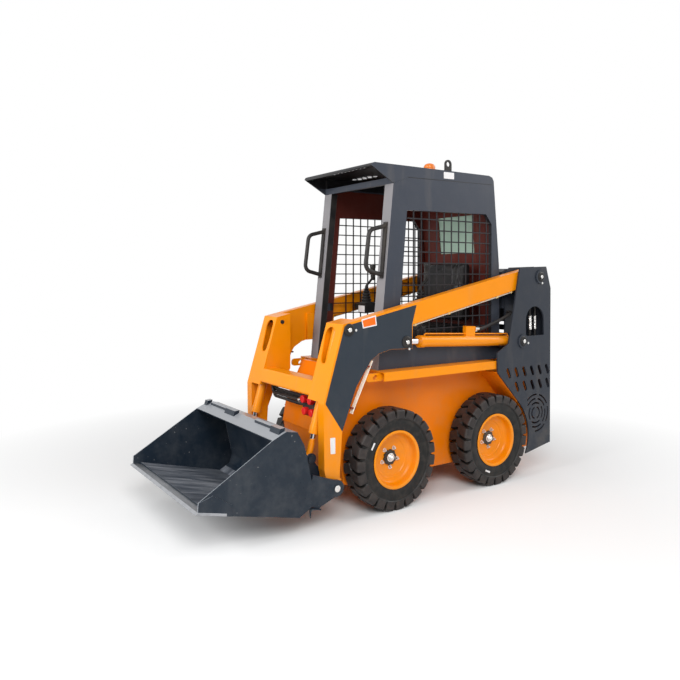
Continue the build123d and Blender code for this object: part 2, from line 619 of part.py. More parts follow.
liner_front = [(y + 42, z) for y, z in (CAB_FRONT_FOOT, CAB_FRONT_TOP)]
with BuildPart() as liner:
    side_slab(cab_in - LINER, cab_in, [
        (liner_front[0][0], TUB_TOP + 4), liner_front[1], (160, ROOF_UNDER - 10),
        (CAB_REAR_TOP[0] - REAR_WALL - 6, ROOF_UNDER - 10),
        (CAB_REAR_KNEE[0] - REAR_WALL - 6, CAB_REAR_KNEE[1]),
        (CAB_REAR_KNEE[0] - REAR_WALL - 6, SEAT_BOX_Z + 2), (SEAT_BOX_Y - 2, SEAT_BOX_Z + 2),
        (SEAT_BOX_Y - 2, TUB_TOP + 4),
    ])
    side_slab(cab_in - LINER, cab_in, WINDOW, Mode.SUBTRACT)
    block((cab_in - LINER, cab_in), (WING_Y[0] - 1, WING_Y[1] + 1), (CONSOLE_Z[0] - 1, CONSOLE_Z[1] + 1),
          Mode.SUBTRACT)
    mirror(about=Plane.YZ)
finish(liner.part, "cab_liners")

roof_outline = [
    (VISOR_Y, 1952), (VISOR_Y + 8, ROOF_TOP - 6), (VISOR_Y + 24, ROOF_TOP), (839, ROOF_TOP),
    (868, 1962), (882, 1940), (CAB_REAR_TOP[0], ROOF_UNDER + 1), (154, ROOF_UNDER + 0.5),
    (CAB_FRONT_TOP[0], CAB_FRONT_TOP[1] + 1),
]
with BuildPart() as roof:
    side_slab(-CAB_X, CAB_X, roof_outline)
    with BuildSketch(side_plane(-cab_in)) as roof_hollow:
        with BuildLine():
            Polyline(*roof_outline, close=True)
        make_face()
        offset(amount=-ROOF_SHEET)
    extrude(roof_hollow.sketch, amount=2 * cab_in, mode=Mode.SUBTRACT)
    block((-cab_in, cab_in), HEADER[:2], HEADER[2:])
    under_top = ROOF_TOP - VISOR_SHEET
    side_slab(-CAB_X + VISOR_SHEET, CAB_X - VISOR_SHEET, [
        (VISOR_Y + 10, HEADER[2]), (VISOR_Y + 10, under_top - 8), (VISOR_Y + 26, under_top),
        (HEADER[0], under_top), (HEADER[0], CAB_FRONT_TOP[1]),
    ], Mode.SUBTRACT)
    block((-cab_in, cab_in), (HEADER[1], CAB_REAR_TOP[0] - REAR_WALL), (CAB_FRONT_TOP[1], under_top),
          Mode.SUBTRACT)
    with BuildSketch(level_plane(under_top)) as visor_slots:
        for slot_y, slots_x in VISOR_SLOTS:
            with Locations([(x, slot_y) for x in slots_x]):
                SlotOverall(*VISOR_SLOT, rotation=35)
    extrude(visor_slots.sketch, amount=VISOR_SHEET, mode=Mode.SUBTRACT)
finish(roof.part, "cab_roof")

rear_line = (CAB_REAR_TOP, CAB_REAR_KNEE)
glass_low = at_height(*rear_line, REAR_GLASS_Z[0])
glass_high = at_height(*rear_line, REAR_GLASS_Z[1])
wall_front = [(CAB_REAR_FOOT_Y - REAR_WALL, SEAT_BOX_Z), (CAB_REAR_KNEE[0] - REAR_WALL, CAB_REAR_KNEE[1])]
with BuildPart() as rear_wall:
    side_slab(-cab_in, cab_in, [
        (CAB_REAR_TOP[0], ROOF_UNDER), CAB_REAR_KNEE, (CAB_REAR_FOOT_Y, SEAT_BOX_Z),
        *wall_front,
        (CAB_REAR_TOP[0] - REAR_WALL, ROOF_UNDER),
    ])
    block((-REAR_GLASS_X, REAR_GLASS_X), (800, 1000), REAR_GLASS_Z, Mode.SUBTRACT)
finish(rear_wall.part, "cab_rear_wall")

with BuildPart() as glass:
    side_slab(-REAR_GLASS_X + 0.5, REAR_GLASS_X - 0.5, [
        (glass_low[0] - 4, REAR_GLASS_Z[0] + 0.5), (glass_high[0] - 4, REAR_GLASS_Z[1] - 0.5),
        (glass_high[0] - 9, REAR_GLASS_Z[1] - 0.5), (glass_low[0] - 9, REAR_GLASS_Z[0] + 0.5),
    ])
finish(glass.part, "rear_window")

# ---- inside the cab --------------------------------------------------------------
floor_x = TUB_X - TUB_WALL
with BuildPart() as floor:
    side_slab(-floor_x, floor_x, [
        (-292, FLOOR_Z), (SEAT_BOX_Y, FLOOR_Z), (SEAT_BOX_Y, SEAT_BOX_Z), (CAB_REAR_FOOT_Y, SEAT_BOX_Z),
        (CAB_REAR_FOOT_Y, SEAT_BOX_Z - FLOOR_SHEET), (SEAT_BOX_Y + FLOOR_SHEET, SEAT_BOX_Z - FLOOR_SHEET),
        (SEAT_BOX_Y + FLOOR_SHEET, FLOOR_Z - FLOOR_SHEET), (-292, FLOOR_Z - FLOOR_SHEET),
    ])
    for side in (-1, 1):
        block(sorted((side * floor_x, side * cab_in)), (SEAT_BOX_Y, CAB_REAR_FOOT_Y),
              (SEAT_BOX_Z - FLOOR_SHEET, SEAT_BOX_Z))
finish(floor.part, "floor_pan")

with BuildPart() as cushion:
    block((-SEAT_W / 2, SEAT_W / 2), CUSHION_Y, (SEAT_BOX_Z, SEAT_BOX_Z + CUSHION_THICK))
    fillet(cushion.edges(), 24)
finish(cushion.part, "seat_cushion")

with BuildPart() as backrest:
    side_slab(-SEAT_W / 2, SEAT_W / 2, [
        (BACKREST_Y[0], BACKREST_Z[0]), (BACKREST_Y[0] + 40, BACKREST_Z[1]),
        (BACKREST_Y[1], BACKREST_Z[1]), (BACKREST_Y[1], BACKREST_Z[0]),
    ])
    fillet(backrest.edges(), 24)
finish(backrest.part, "seat_back")

with BuildPart() as seat_frame:
    side_slab(-60, 60, [
        *((BACKREST_Y[1] + SEAT_GAP, z) for z in BACKREST_ARM_Z),
        *(at_height(wall_front[1], wall_front[0], z) for z in reversed(BACKREST_ARM_Z)),
    ])
finish(seat_frame.part, "seat_bracket")

with BuildPart() as consoles:
    block(CONSOLE_X, CONSOLE_Y, CONSOLE_Z)
    block((CONSOLE_X[1], cab_in), WING_Y, CONSOLE_Z)
    mirror(about=Plane.YZ)
finish(consoles.part, "arm_consoles")

with BuildPart() as levers:
    with BuildSketch(level_plane(CONSOLE_Z[1])) as boot:
        with Locations((LEVER_X, LEVER_Y)):
            Circle(34)
    extrude(boot.sketch, amount=50, taper=22)
    with BuildSketch(level_plane(CONSOLE_Z[1] + 40)) as stick:
        with Locations((LEVER_X, LEVER_Y)):
            Circle(8)
    extrude(stick.sketch, amount=LEVER_TOP - CONSOLE_Z[1] - 80)
    with BuildSketch(level_plane(LEVER_TOP - 110)) as knob:
        with Locations((LEVER_X, LEVER_Y)):
            Circle(18)
    extrude(knob.sketch, amount=110)
    mirror(about=Plane.YZ)
finish(levers.part, "control_levers")

# ---- on the cab ------------------------------------------------------------------
handle_low = at_height(CAB_FRONT_FOOT, CAB_FRONT_TOP, HANDLE_Z[0])
handle_high = at_height(CAB_FRONT_FOOT, CAB_FRONT_TOP, HANDLE_Z[1])
with BuildPart() as handles:
    with BuildLine(side_plane(HANDLE_X)) as handle_path:
        FilletPolyline(
            handle_low, (handle_low[0] - HANDLE_REACH, handle_low[1] + 30),
            (handle_high[0] - HANDLE_REACH, handle_high[1] - 30), handle_high, radius=45,
        )
    with BuildSketch(Plane(origin=handle_path.line @ 0, z_dir=handle_path.line % 0)):
        Circle(HANDLE_TUBE_R)
    sweep(path=handle_path.line)
    side_slab(HANDLE_X - 14, HANDLE_X + 14, [
        (handle_low[0] - 12, handle_low[1] - 20), (handle_low[0] + 10, handle_low[1] - 20),
        (handle_high[0] + 10, handle_high[1] + 20), (handle_high[0] - 12, handle_high[1] + 20),
    ])
    side_slab(CAB_X - CAB_POST_W - 1, CAB_X + 1, [
        CAB_FRONT_FOOT, CAB_FRONT_TOP, (CAB_FRONT_TOP[0] + 60, CAB_FRONT_TOP[1]),
        (CAB_FRONT_FOOT[0] + 60, CAB_FRONT_FOOT[1]),
    ], Mode.SUBTRACT)
    mirror(about=Plane.YZ)
finish(handles.part, "grab_handles")

with BuildPart() as lifting_eyes:
    with BuildSketch(side_plane(EYE_PLATE_X - EYE_PLATE_THICK / 2)) as eye_plate:
        with Locations((EYE_PLATE_Y, (ROOF_TOP + EYE_PLATE_TOP - EYE_PLATE_W / 2) / 2)):
            Rectangle(EYE_PLATE_W, EYE_PLATE_TOP - EYE_PLATE_W / 2 - ROOF_TOP)
        with Locations((EYE_PLATE_Y, EYE_PLATE_TOP - EYE_PLATE_W / 2)):
            Circle(EYE_PLATE_W / 2)
            Circle(EYE_HOLE_R, mode=Mode.SUBTRACT)
    extrude(eye_plate.sketch, amount=EYE_PLATE_THICK)
    mirror(about=Plane.YZ)
finish(lifting_eyes.part, "lifting_eyes")

with BuildPart() as beacon:
    with BuildSketch(level_plane(ROOF_TOP)) as beacon_base:
        with Locations(BEACON_AT):
            Circle(BEACON_R + 6)
    extrude(beacon_base.sketch, amount=16)
    with BuildSketch(level_plane(ROOF_TOP + 16)) as lens:
        with Locations(BEACON_AT):
            Circle(BEACON_R)
    extrude(lens.sketch, amount=BEACON_TOP - ROOF_TOP - 16)
    fillet(beacon.edges().sort_by(Axis.Z)[-1], 16)
finish(beacon.part, "beacon")

# ---- lift arms -------------------------------------------------------------------
arm_outer_in = ARM_X - ARM_PLATE
inner_wall = LEG_INNER_X + ARM_PLATE
leg_back = [at_height(ARM_BACK[2], ARM_BACK[3], COVER_BOTTOM + 17), ARM_BACK[3], (LEG_BACK_Y, 740)]
cover_low = at_height(ARM_TOP_FRONT, ARM_KNEE, COVER_BOTTOM)
box_top = at_height(ARM_TOP_FRONT, ARM_KNEE, COVER_BOTTOM + 145)
top_back = at_y(ARM_TOP_FRONT, ARM_TOP_REAR, LEG_BACK_Y)
foot_front = (ARM_FOOT_FRONT_Y, 250)
leg_front = [ARM_TOP_FRONT, ARM_KNEE, (-486, 300), foot_front]
foot_rear = (-387, 285)
foot_line = [(BUCKET_PIVOT[0] + side * FOOT_R, BUCKET_PIVOT[1] + 30) for side in (-1, 1)]
rear_end = [(LIFT_PIVOT[0] + 4, LIFT_PIVOT[1] + ARM_EYE_R), (LIFT_PIVOT[0], LIFT_PIVOT[1] - ARM_EYE_R + 1)]
with BuildPart() as arm:
    side_slab(arm_outer_in, ARM_X,
              leg_front + foot_line + ARM_BACK + ARM_CORNER + [BEAM_UNDER_REAR]
              + rear_end[::-1] + [ARM_TOP_REAR])
    side_disc(arm_outer_in, ARM_X, LIFT_PIVOT, ARM_EYE_R)
    side_disc(arm_outer_in, ARM_X, BUCKET_PIVOT, FOOT_R)
    side_slab(BEAM_INNER_X, arm_outer_in, [
        top_back, leg_back[-1], ARM_BACK[3], *ARM_CORNER[:3], (CAVITY_FRONT_Y, ARM_CORNER[2][1] - 1),
        (CAVITY_FRONT_Y, CAVITY_TOP), (122, 1045), BEAM_UNDER_REAR,
        *rear_end[::-1], ARM_TOP_REAR,
    ])
    side_disc(BEAM_INNER_X, arm_outer_in, LIFT_PIVOT, ARM_EYE_R)
    side_slab(LEG_INNER_X, inner_wall, [top_back, ARM_TOP_FRONT, cover_low, *leg_back])
    side_slab(inner_wall, arm_outer_in, [
        ARM_TOP_FRONT, top_back, (top_back[0], top_back[1] - LEG_SHEET - 1),
        (ARM_TOP_FRONT[0] + 2, ARM_TOP_FRONT[1] - LEG_SHEET - 1),
    ])
    side_slab(inner_wall, arm_outer_in, [
        ARM_TOP_FRONT, cover_low, (cover_low[0] + LEG_SHEET, cover_low[1]),
        (ARM_TOP_FRONT[0] + LEG_SHEET, ARM_TOP_FRONT[1]),
    ])
    upper_wall = leg_back + [top_back]
    side_slab(inner_wall, arm_outer_in,
              upper_wall + [(y - LEG_SHEET, z) for y, z in reversed(upper_wall)])
    side_slab(BEAM_INNER_X, BEAM_INNER_X + ARM_PLATE,
              [box_top, ARM_KNEE, *leg_front[2:], *foot_line, *ARM_BACK, leg_back[-1],
               (LEG_BACK_Y, box_top[1])])
    side_disc(BEAM_INNER_X, BEAM_INNER_X + ARM_PLATE, BUCKET_PIVOT, FOOT_R)
    front_flange = [cover_low, *leg_front[1:]]
    rear_flange = [foot_rear, *ARM_BACK[1:]]
    side_slab(BEAM_INNER_X, arm_outer_in,
              front_flange + [(y + LEG_SHEET, z) for y, z in reversed(front_flange)])
    side_slab(BEAM_INNER_X, arm_outer_in,
              rear_flange + [(y - LEG_SHEET, z) for y, z in reversed(rear_flange)])
    with BuildSketch(front_plane(ARM_KNEE[0] - 20)) as cover_slot:
        for slot_z, slot_r in zip(COVER_SLOT_Z, COVER_SLOT_R):
            with Locations((inner_wall + COVER_SLOT_R[1] + 4, slot_z)):
                Circle(slot_r)
        make_hull()
    extrude(cover_slot.sketch, amount=-(LEG_BACK_Y - ARM_KNEE[0] - 20), mode=Mode.SUBTRACT)
    side_slab(GUSSET_X, GUSSET_X + GUSSET_THICK, [
        (CAVITY_FRONT_Y - 60, 902), (118, 906), (122, 1055), (CAVITY_FRONT_Y, CAVITY_TOP + 40),
        (CAVITY_FRONT_Y - 60, CAVITY_TOP + 40),
    ])
    side_slab(GUSSET_X + GUSSET_THICK, BEAM_INNER_X, [
        (CAVITY_FRONT_Y - 60, 902), (CAVITY_FRONT_Y - 30, 902), (CAVITY_FRONT_Y - 30, CAVITY_TOP + 40),
        (CAVITY_FRONT_Y - 60, CAVITY_TOP + 40),
    ])
    for pin_at, hole_r in ((LIFT_PIVOT, PIVOT_PIN_R + RUN_CLEAR), (BUCKET_PIVOT, BUCKET_PIN_R + SEAT_GAP),
                           (TILT_TOP, TILT_PIN_R + SEAT_GAP)):
        side_disc(LEG_INNER_X, ARM_X, pin_at, hole_r, Mode.SUBTRACT)
finish_pair(arm.part, "lift_arm")

cross_low = at_height(ARM_TOP_FRONT, ARM_KNEE, 668)
cross_high = at_height(ARM_TOP_FRONT, ARM_KNEE, 668 + CROSS_TUBE[1])
with BuildPart() as cross:
    side_slab(-LEG_INNER_X, LEG_INNER_X, [
        cross_low, cross_high, (cross_high[0] + CROSS_TUBE[0], cross_high[1]),
        (cross_low[0] + CROSS_TUBE[0], cross_low[1]),
    ])
    fillet(cross.edges().filter_by(Axis.X), 12)
finish(cross.part, "arm_cross_tube")

pin_head = TILT_X - TILT_EYE_W / 2 - BRACKET_THICK - 2 * MOVE_GAP - 1
with BuildPart() as arm_pins:
    side_disc(pin_head - 8, pin_head, BUCKET_PIVOT, BUCKET_PIN_R + 8)
    side_disc(pin_head - 8, EAR_X + 6, BUCKET_PIVOT, BUCKET_PIN_R)
    side_disc(LEG_INNER_X - 6, ARM_X + 9, TILT_TOP, TILT_PIN_R)
    side_disc(ARM_X, ARM_X + 6, TILT_TOP, 31)
    side_disc(ARM_X, ARM_X + 6, LIFT_EYE, 35)
    mirror(about=Plane.YZ)
finish(arm_pins.part, "arm_pins")

beam_line = (ARM_CORNER[-1], BEAM_UNDER_REAR)
with BuildPart() as arm_lines:
    for line_x in LEG_LINES_X:
        with BuildLine(side_plane(line_x)) as down:
            Line(*LEG_LINE)
        with BuildSketch(Plane(origin=down.line @ 0, z_dir=down.line % 0)):
            Circle(LINE_R)
        sweep(path=down.line)
    for clamp_z, edge_line in zip(LEG_CLAMPS_Z, ((ARM_BACK[3], ARM_CORNER[0]), ARM_BACK[2:])):
        low, high = clamp_z - 9, clamp_z + 9
        side_slab(LEG_LINES_X[2] - 7, ARM_X - 1, [
            at_height(*edge_line, low, SEAT_GAP), at_height(*edge_line, high, SEAT_GAP),
            at_height(*LEG_LINE, high, 2), at_height(*LEG_LINE, low, 2),
        ])
    line_x = ARM_X - 16
    with BuildLine(side_plane(line_x)) as along:
        Line(*[(y, at_y(*beam_line, y)[1] - 11) for y in BEAM_LINE_Y])
    with BuildSketch(Plane(origin=along.line @ 0, z_dir=along.line % 0)):
        Circle(LINE_R)
    sweep(path=along.line)
    for clamp_y in BEAM_CLAMPS_Y:
        under = at_y(*beam_line, clamp_y)[1]
        side_slab(line_x - 9, line_x + 9, [
            (clamp_y - 8, under - 1.8), (clamp_y + 8, under + 1.6), (clamp_y + 8, under - 16),
            (clamp_y - 8, under - 19),
        ])
    mirror(about=Plane.YZ)
finish(arm_lines.part, "arm_lines")

plate_z = (535, 668)
feed_at = (COUPLER_Y + 8 + HOSE_R - 3, COUPLERS[0][1] - 22)
with BuildPart() as couplers:
    with BuildLine(front_plane(feed_at[0])) as hose_path:
        FilletPolyline((-262, plate_z[1]), (-262, feed_at[1]), (COUPLERS[0][0], feed_at[1]), radius=30)
    with BuildSketch(Plane(origin=hose_path.line @ 0, z_dir=hose_path.line % 0)):
        Circle(HOSE_R)
    sweep(path=hose_path.line)
    block(COUPLER_PLATE_X, (COUPLER_Y, COUPLER_Y + 8), plate_z)
    for at_x, at_z in COUPLERS:
        with BuildSketch(front_plane(COUPLER_Y + 26)) as body:
            with Locations((at_x, at_z)):
                Circle(12)
        extrude(body.sketch, amount=26 + CAP_START)
finish(couplers.part, "arm_couplers")

with BuildPart() as caps:
    for at_x, at_z in COUPLERS:
        with BuildSketch(front_plane(COUPLER_Y - CAP_START)) as cap:
            with Locations((at_x, at_z)):
                Circle(CAP_R)
        extrude(cap.sketch, amount=CAP_LENGTH)
finish(caps.part, "coupler_caps")

# ---- cylinders: each is drawn along its own line, base pin to eye -----------------
def cylinder_plane(x, base, eye):
    """Plane square to the line from base to eye, at base; its own x axis is the machine's."""
    along = Vector(0, eye[0] - base[0], eye[1] - base[1])
    return Plane(origin=(x, AXLE_Y + base[0], base[1]), x_dir=(1, 0, 0), z_dir=along)


def rod_length(x, start, stop, radius, plane, mode=Mode.ADD):
    """Round piece along the cylinder's own line between two distances from its base pin."""
    with BuildSketch(plane.offset(start)) as face:
        Circle(radius)
    extrude(face.sketch, amount=stop - start, mode=mode)


CYLINDERS = [   # name, x, base, eye, barrel r, end, gland r, rod r, inner end, eye r, eye w, pin r, neck
    ("lift", LIFT_X, LIFT_BASE, LIFT_EYE, LIFT_BARREL_R, LIFT_BARREL_END, LIFT_GLAND_R,
     LIFT_ROD_R, LIFT_ROD_IN, LIFT_EYE_R, LIFT_EYE_W, BASE_PIN_R, LIFT_NECK),
    ("tilt", TILT_X, TILT_TOP, TILT_EYE, TILT_BARREL_R, TILT_BARREL_END, TILT_GLAND_R,
     TILT_ROD_R, TILT_ROD_IN, TILT_EYE_R, TILT_EYE_W, TILT_PIN_R, TILT_NECK),
]
for name, x, base, eye, barrel_r, barrel_end, gland_r, rod_r, rod_in, eye_r, eye_w, pin_r, neck in CYLINDERS:
    line = cylinder_plane(x, base, eye)
    reach = math.dist(base, eye)
    with BuildPart() as barrel:
        rod_length(x, 0, barrel_end, barrel_r, line)
        rod_length(x, barrel_end - GLAND_LENGTH, barrel_end, gland_r, line)
        side_disc(x - eye_w / 2 - 6, x + eye_w / 2 + 6, base, eye_r - 1)
        rod_length(x, rod_in - 50, barrel_end, rod_r + RUN_CLEAR, line, Mode.SUBTRACT)
        side_disc(x - 60, x + 60, base, pin_r + RUN_CLEAR, Mode.SUBTRACT)
        if name == "lift":
            upright = Plane(origin=line.origin, x_dir=line.z_dir, z_dir=(-1, 0, 0))
            with BuildLine(upright) as pipe:
                FilletPolyline(
                    (LIFT_LINE_AT[1], barrel_r - 1), (LIFT_LINE_AT[1], barrel_r + LIFT_LINE_RISE),
                    (LIFT_LINE_AT[0], barrel_r + LIFT_LINE_RISE), (LIFT_LINE_AT[0], barrel_r - 1), radius=9,
                )
            with BuildSketch(Plane(origin=pipe.line @ 0, z_dir=pipe.line % 0)):
                Circle(LINE_R)
            sweep(path=pipe.line)
            with BuildSketch(upright.offset(-PORT_W / 2)) as port:
                with Locations((sum(PORT_AT) / 2, (PORT_TOP + barrel_r - 3) / 2)):
                    Rectangle(PORT_AT[1] - PORT_AT[0], PORT_TOP - barrel_r + 3)
            extrude(port.sketch, amount=PORT_W)
    finish_pair(barrel.part, f"{name}_barrel")
    with BuildPart() as rod:
        rod_length(x, rod_in, reach, rod_r, line)
        rod_length(x, reach - neck, reach, rod_r + 3, line)
        side_disc(x - eye_w / 2, x + eye_w / 2, eye, eye_r)
        side_disc(x - 60, x + 60, eye, eye_r - 13, Mode.SUBTRACT)
    finish_pair(rod.part, f"{name}_rod")

lift_plane = cylinder_plane(LIFT_X, LIFT_BASE, LIFT_EYE)
port_back = lift_plane.from_local_coords((0, PORT_TOP - 18, PORT_AT[0]))
port_behind = lift_plane.from_local_coords((0, PORT_TOP - 18, PORT_AT[0] - 80))
with BuildPart() as lift_hoses:
    with BuildLine() as hose_path:
        FilletPolyline(
            port_back, port_behind, (LIFT_X, AXLE_Y + LIFT_HOSE_END[0], LIFT_HOSE_END[1]),
            (TOWER_INNER_X, AXLE_Y + LIFT_HOSE_END[0], LIFT_HOSE_END[1]), radius=30,
        )
    with BuildSketch(Plane(origin=hose_path.line @ 0, z_dir=hose_path.line % 0)):
        Circle(HOSE_R)
    sweep(path=hose_path.line)
    for hose_y in TOWER_HOSES_Y:
        with BuildLine(front_plane(hose_y)) as window_path:
            FilletPolyline((TOWER_INNER_X, 835), (LIFT_X, 835), (LIFT_X, 1190), (TOWER_INNER_X, 1190),
                           radius=30)
        with BuildSketch(Plane(origin=window_path.line @ 0, z_dir=window_path.line % 0)):
            Circle(HOSE_R)
        sweep(path=window_path.line)
    mirror(about=Plane.YZ)
finish(lift_hoses.part, "lift_hoses")

# ---- bucket ----------------------------------------------------------------------
edge_back = at_y(BUCKET_HEEL, BUCKET_LIP, LIP_Y + EDGE_DEPTH)
edge_outline = [
    BUCKET_LIP, edge_back, (edge_back[0], edge_back[1] + EDGE_THICK - 1),
    (LIP_Y + 14, BUCKET_LIP[1] + EDGE_THICK - 4),
]
floor_front = at_y(BUCKET_HEEL, BUCKET_LIP, LIP_Y + 60)
outer_line = [(floor_front[0], floor_front[1] + EDGE_THICK), BUCKET_HEEL] + BUCKET_BACK
with BuildPart() as shell:
    with BuildSketch(side_plane(-BUCKET_X + BUCKET_SIDE)) as shell_face:
        with BuildLine():
            Polyline(*outer_line, BUCKET_TOP_REAR, BUCKET_TOP_FRONT,
                     (BUCKET_TOP_FRONT[0] + 4, BUCKET_TOP_FRONT[1] - BUCKET_SHEET),
                     (BUCKET_TOP_REAR[0], BUCKET_TOP_REAR[1] - BUCKET_SHEET - 1), (-678, 524),
                     (-640, 456), (-593, 254), (-583, 198), (-600, 146),
                     (-664, 109 + 1), (floor_front[0], floor_front[1] + EDGE_THICK + BUCKET_SHEET),
                     close=True)
        make_face()
    extrude(shell_face.sketch, amount=2 * (BUCKET_X - BUCKET_SIDE))
    lip_low, side_front = at_y(BUCKET_HEEL, BUCKET_LIP, LIP_Y + 14), (LIP_Y + 18, 279)
    for side in (-1, 1):
        side_slab(side * (BUCKET_X - BUCKET_SIDE), side * (BUCKET_X - SIDE_PROUD),
                  [lip_low, BUCKET_HEEL] + BUCKET_BACK + [BUCKET_TOP_REAR, BUCKET_TOP_FRONT, side_front])
        side_slab(side * (BUCKET_X - SIDE_PROUD), side * BUCKET_X, [
            lip_low, at_y(BUCKET_HEEL, BUCKET_LIP, LIP_Y + 190), (LIP_Y + 190, side_front[1] - 40),
            (LIP_Y + 90, side_front[1] + 22), side_front,
        ])
    top_y, top_z = BUCKET_TOP_REAR
    for bar_x in LIP_BARS_X:
        side_slab(*bar_x, [at_y(BUCKET_TOP_FRONT, BUCKET_TOP_REAR, top_y - 18), BUCKET_TOP_REAR,
                           (top_y, top_z + 12), (top_y - 18, top_z + 6)])
    for lug_x in LIP_LUGS_X:
        side_slab(*lug_x, [at_y(BUCKET_TOP_FRONT, BUCKET_TOP_REAR, top_y - 34), BUCKET_TOP_REAR,
                           (top_y + 4, top_z + 16), (top_y - 26, top_z + 13)])
    side_slab(-BUCKET_X, BUCKET_X, edge_outline, Mode.SUBTRACT)
finish(shell.part, "bucket_shell")

with BuildPart() as edge:
    side_slab(-BUCKET_X, BUCKET_X, edge_outline)
finish(edge.part, "cutting_edge")

ear_in = EAR_X - EAR_THICK
eye_side = TILT_EYE_W / 2 + MOVE_GAP + 1
with BuildPart() as mounts:
    side_slab(ear_in, EAR_X, [
        (-575, 300), (-590, 230), (-577, 196), (-592, 140), (-540, 122), (-440, 160), (-390, 190),
        (-400, 240), (-470, 262),
    ])
    side_disc(ear_in, EAR_X, BUCKET_PIVOT, FOOT_R - 6)
    side_slab(ear_in - 8, EAR_X + 12, [(-590, 133), (-532, 121), (-532, 114), (-590, 126)])
    with Locations((ear_in + EAR_THICK / 2, AXLE_Y + SPIKE_Y, SPIKE_Z[1])):
        Cone(SPIKE_R[0], SPIKE_R[1], SPIKE_Z[1] - SPIKE_Z[0], align=(Align.CENTER, Align.CENTER, Align.MAX))
    for face in (TILT_X - eye_side - BRACKET_THICK, TILT_X + eye_side):
        side_slab(face, face + BRACKET_THICK, [
            (-622, 440), TILT_EYE, (-394, 215), (-405, 176), (-560, 122), (-592, 137), (-574, 196),
            (-584, 254),
        ])
        side_disc(face, face + BRACKET_THICK, TILT_EYE, 30)
        side_disc(face, face + BRACKET_THICK, BUCKET_PIVOT, 36)
    side_disc(TILT_X - eye_side - BRACKET_THICK - 8, TILT_X - eye_side - BRACKET_THICK, TILT_EYE, 22)
    side_disc(TILT_X + eye_side + BRACKET_THICK, TILT_X + eye_side + BRACKET_THICK + 8, TILT_EYE, 22)
    side_disc(TILT_X - 60, EAR_X + 10, BUCKET_PIVOT, BUCKET_PIN_R + RUN_CLEAR, Mode.SUBTRACT)
    side_slab(0, BUCKET_X, [BUCKET_LIP, BUCKET_HEEL] + BUCKET_BACK + [BUCKET_TOP_FRONT], Mode.SUBTRACT)
    mirror(about=Plane.YZ)
finish(mounts.part, "bucket_brackets")
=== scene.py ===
import math

import bmesh
import bpy
import numpy as np
from mathutils import Matrix, Vector


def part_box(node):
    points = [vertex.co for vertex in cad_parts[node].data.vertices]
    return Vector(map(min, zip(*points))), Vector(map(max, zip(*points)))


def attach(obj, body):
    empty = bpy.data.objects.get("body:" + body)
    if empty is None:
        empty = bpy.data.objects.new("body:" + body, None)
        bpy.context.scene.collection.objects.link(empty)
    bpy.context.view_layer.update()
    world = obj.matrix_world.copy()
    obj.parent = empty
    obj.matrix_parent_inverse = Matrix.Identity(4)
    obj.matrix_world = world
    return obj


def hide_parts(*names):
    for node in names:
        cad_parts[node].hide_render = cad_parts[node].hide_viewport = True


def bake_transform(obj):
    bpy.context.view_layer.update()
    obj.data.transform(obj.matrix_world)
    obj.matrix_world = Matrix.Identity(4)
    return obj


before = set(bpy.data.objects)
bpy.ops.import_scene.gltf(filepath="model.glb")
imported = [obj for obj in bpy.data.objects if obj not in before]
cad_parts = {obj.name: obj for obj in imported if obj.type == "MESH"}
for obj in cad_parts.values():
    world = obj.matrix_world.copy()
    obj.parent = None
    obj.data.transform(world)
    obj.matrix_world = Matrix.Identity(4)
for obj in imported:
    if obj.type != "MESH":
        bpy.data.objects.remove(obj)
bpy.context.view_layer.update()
FRONT_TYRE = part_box("tyre_front_left")
AXLE_Y = float(FRONT_TYRE[0].y + FRONT_TYRE[1].y) / 2     # front axle, in metres
FINISHES = {}

bl_info = {
    "name": "Skid Steer Loader Dressing",
    "version": (1, 0, 0),
    "blender": (4, 5, 0),
    "location": "View3D > Sidebar > Loader",
    "description": "Finishes and small parts for a wheeled skid steer loader",
    "category": "Object",
}


# ---- shader arithmetic -----------------------------------------------------------
class Value:
    """A node's output that takes part in Python arithmetic; each operator adds a Math node."""

    def __init__(self, finish, socket):
        self.finish = finish
        self.socket = socket

    def math(self, operation, *others):
        """A Math node with this value first."""
        inputs = dict(enumerate((self,) + others))
        return self.finish.node("ShaderNodeMath", {"operation": operation}, inputs)

    def swapped(self, operation, other):
        """A Math node with this value second."""
        return self.finish.node("ShaderNodeMath", {"operation": operation}, {0: other, 1: self})

    def __add__(self, other):
        return self.math("ADD", other)

    def __radd__(self, other):
        return self.swapped("ADD", other)

    def __sub__(self, other):
        return self.math("SUBTRACT", other)

    def __rsub__(self, other):
        return self.swapped("SUBTRACT", other)

    def __mul__(self, other):
        return self.math("MULTIPLY", other)

    def __pow__(self, other):
        return self.math("POWER", other)

    def __gt__(self, other):
        return self.math("GREATER_THAN", other)

    def __lt__(self, other):
        return self.math("LESS_THAN", other)

    def size(self):
        """The value without its sign."""
        return self.math("ABSOLUTE")

    def clamped(self):
        """The value held between 0 and 1."""
        return self.finish.node("ShaderNodeClamp", {}, {"Value": self})

    def ramp(self, low, high):
        """0 below low, 1 above high, and straight between them."""
        return self.finish.node(
            "ShaderNodeMapRange", {"clamp": True}, {"Value": self, "From Min": low, "From Max": high})


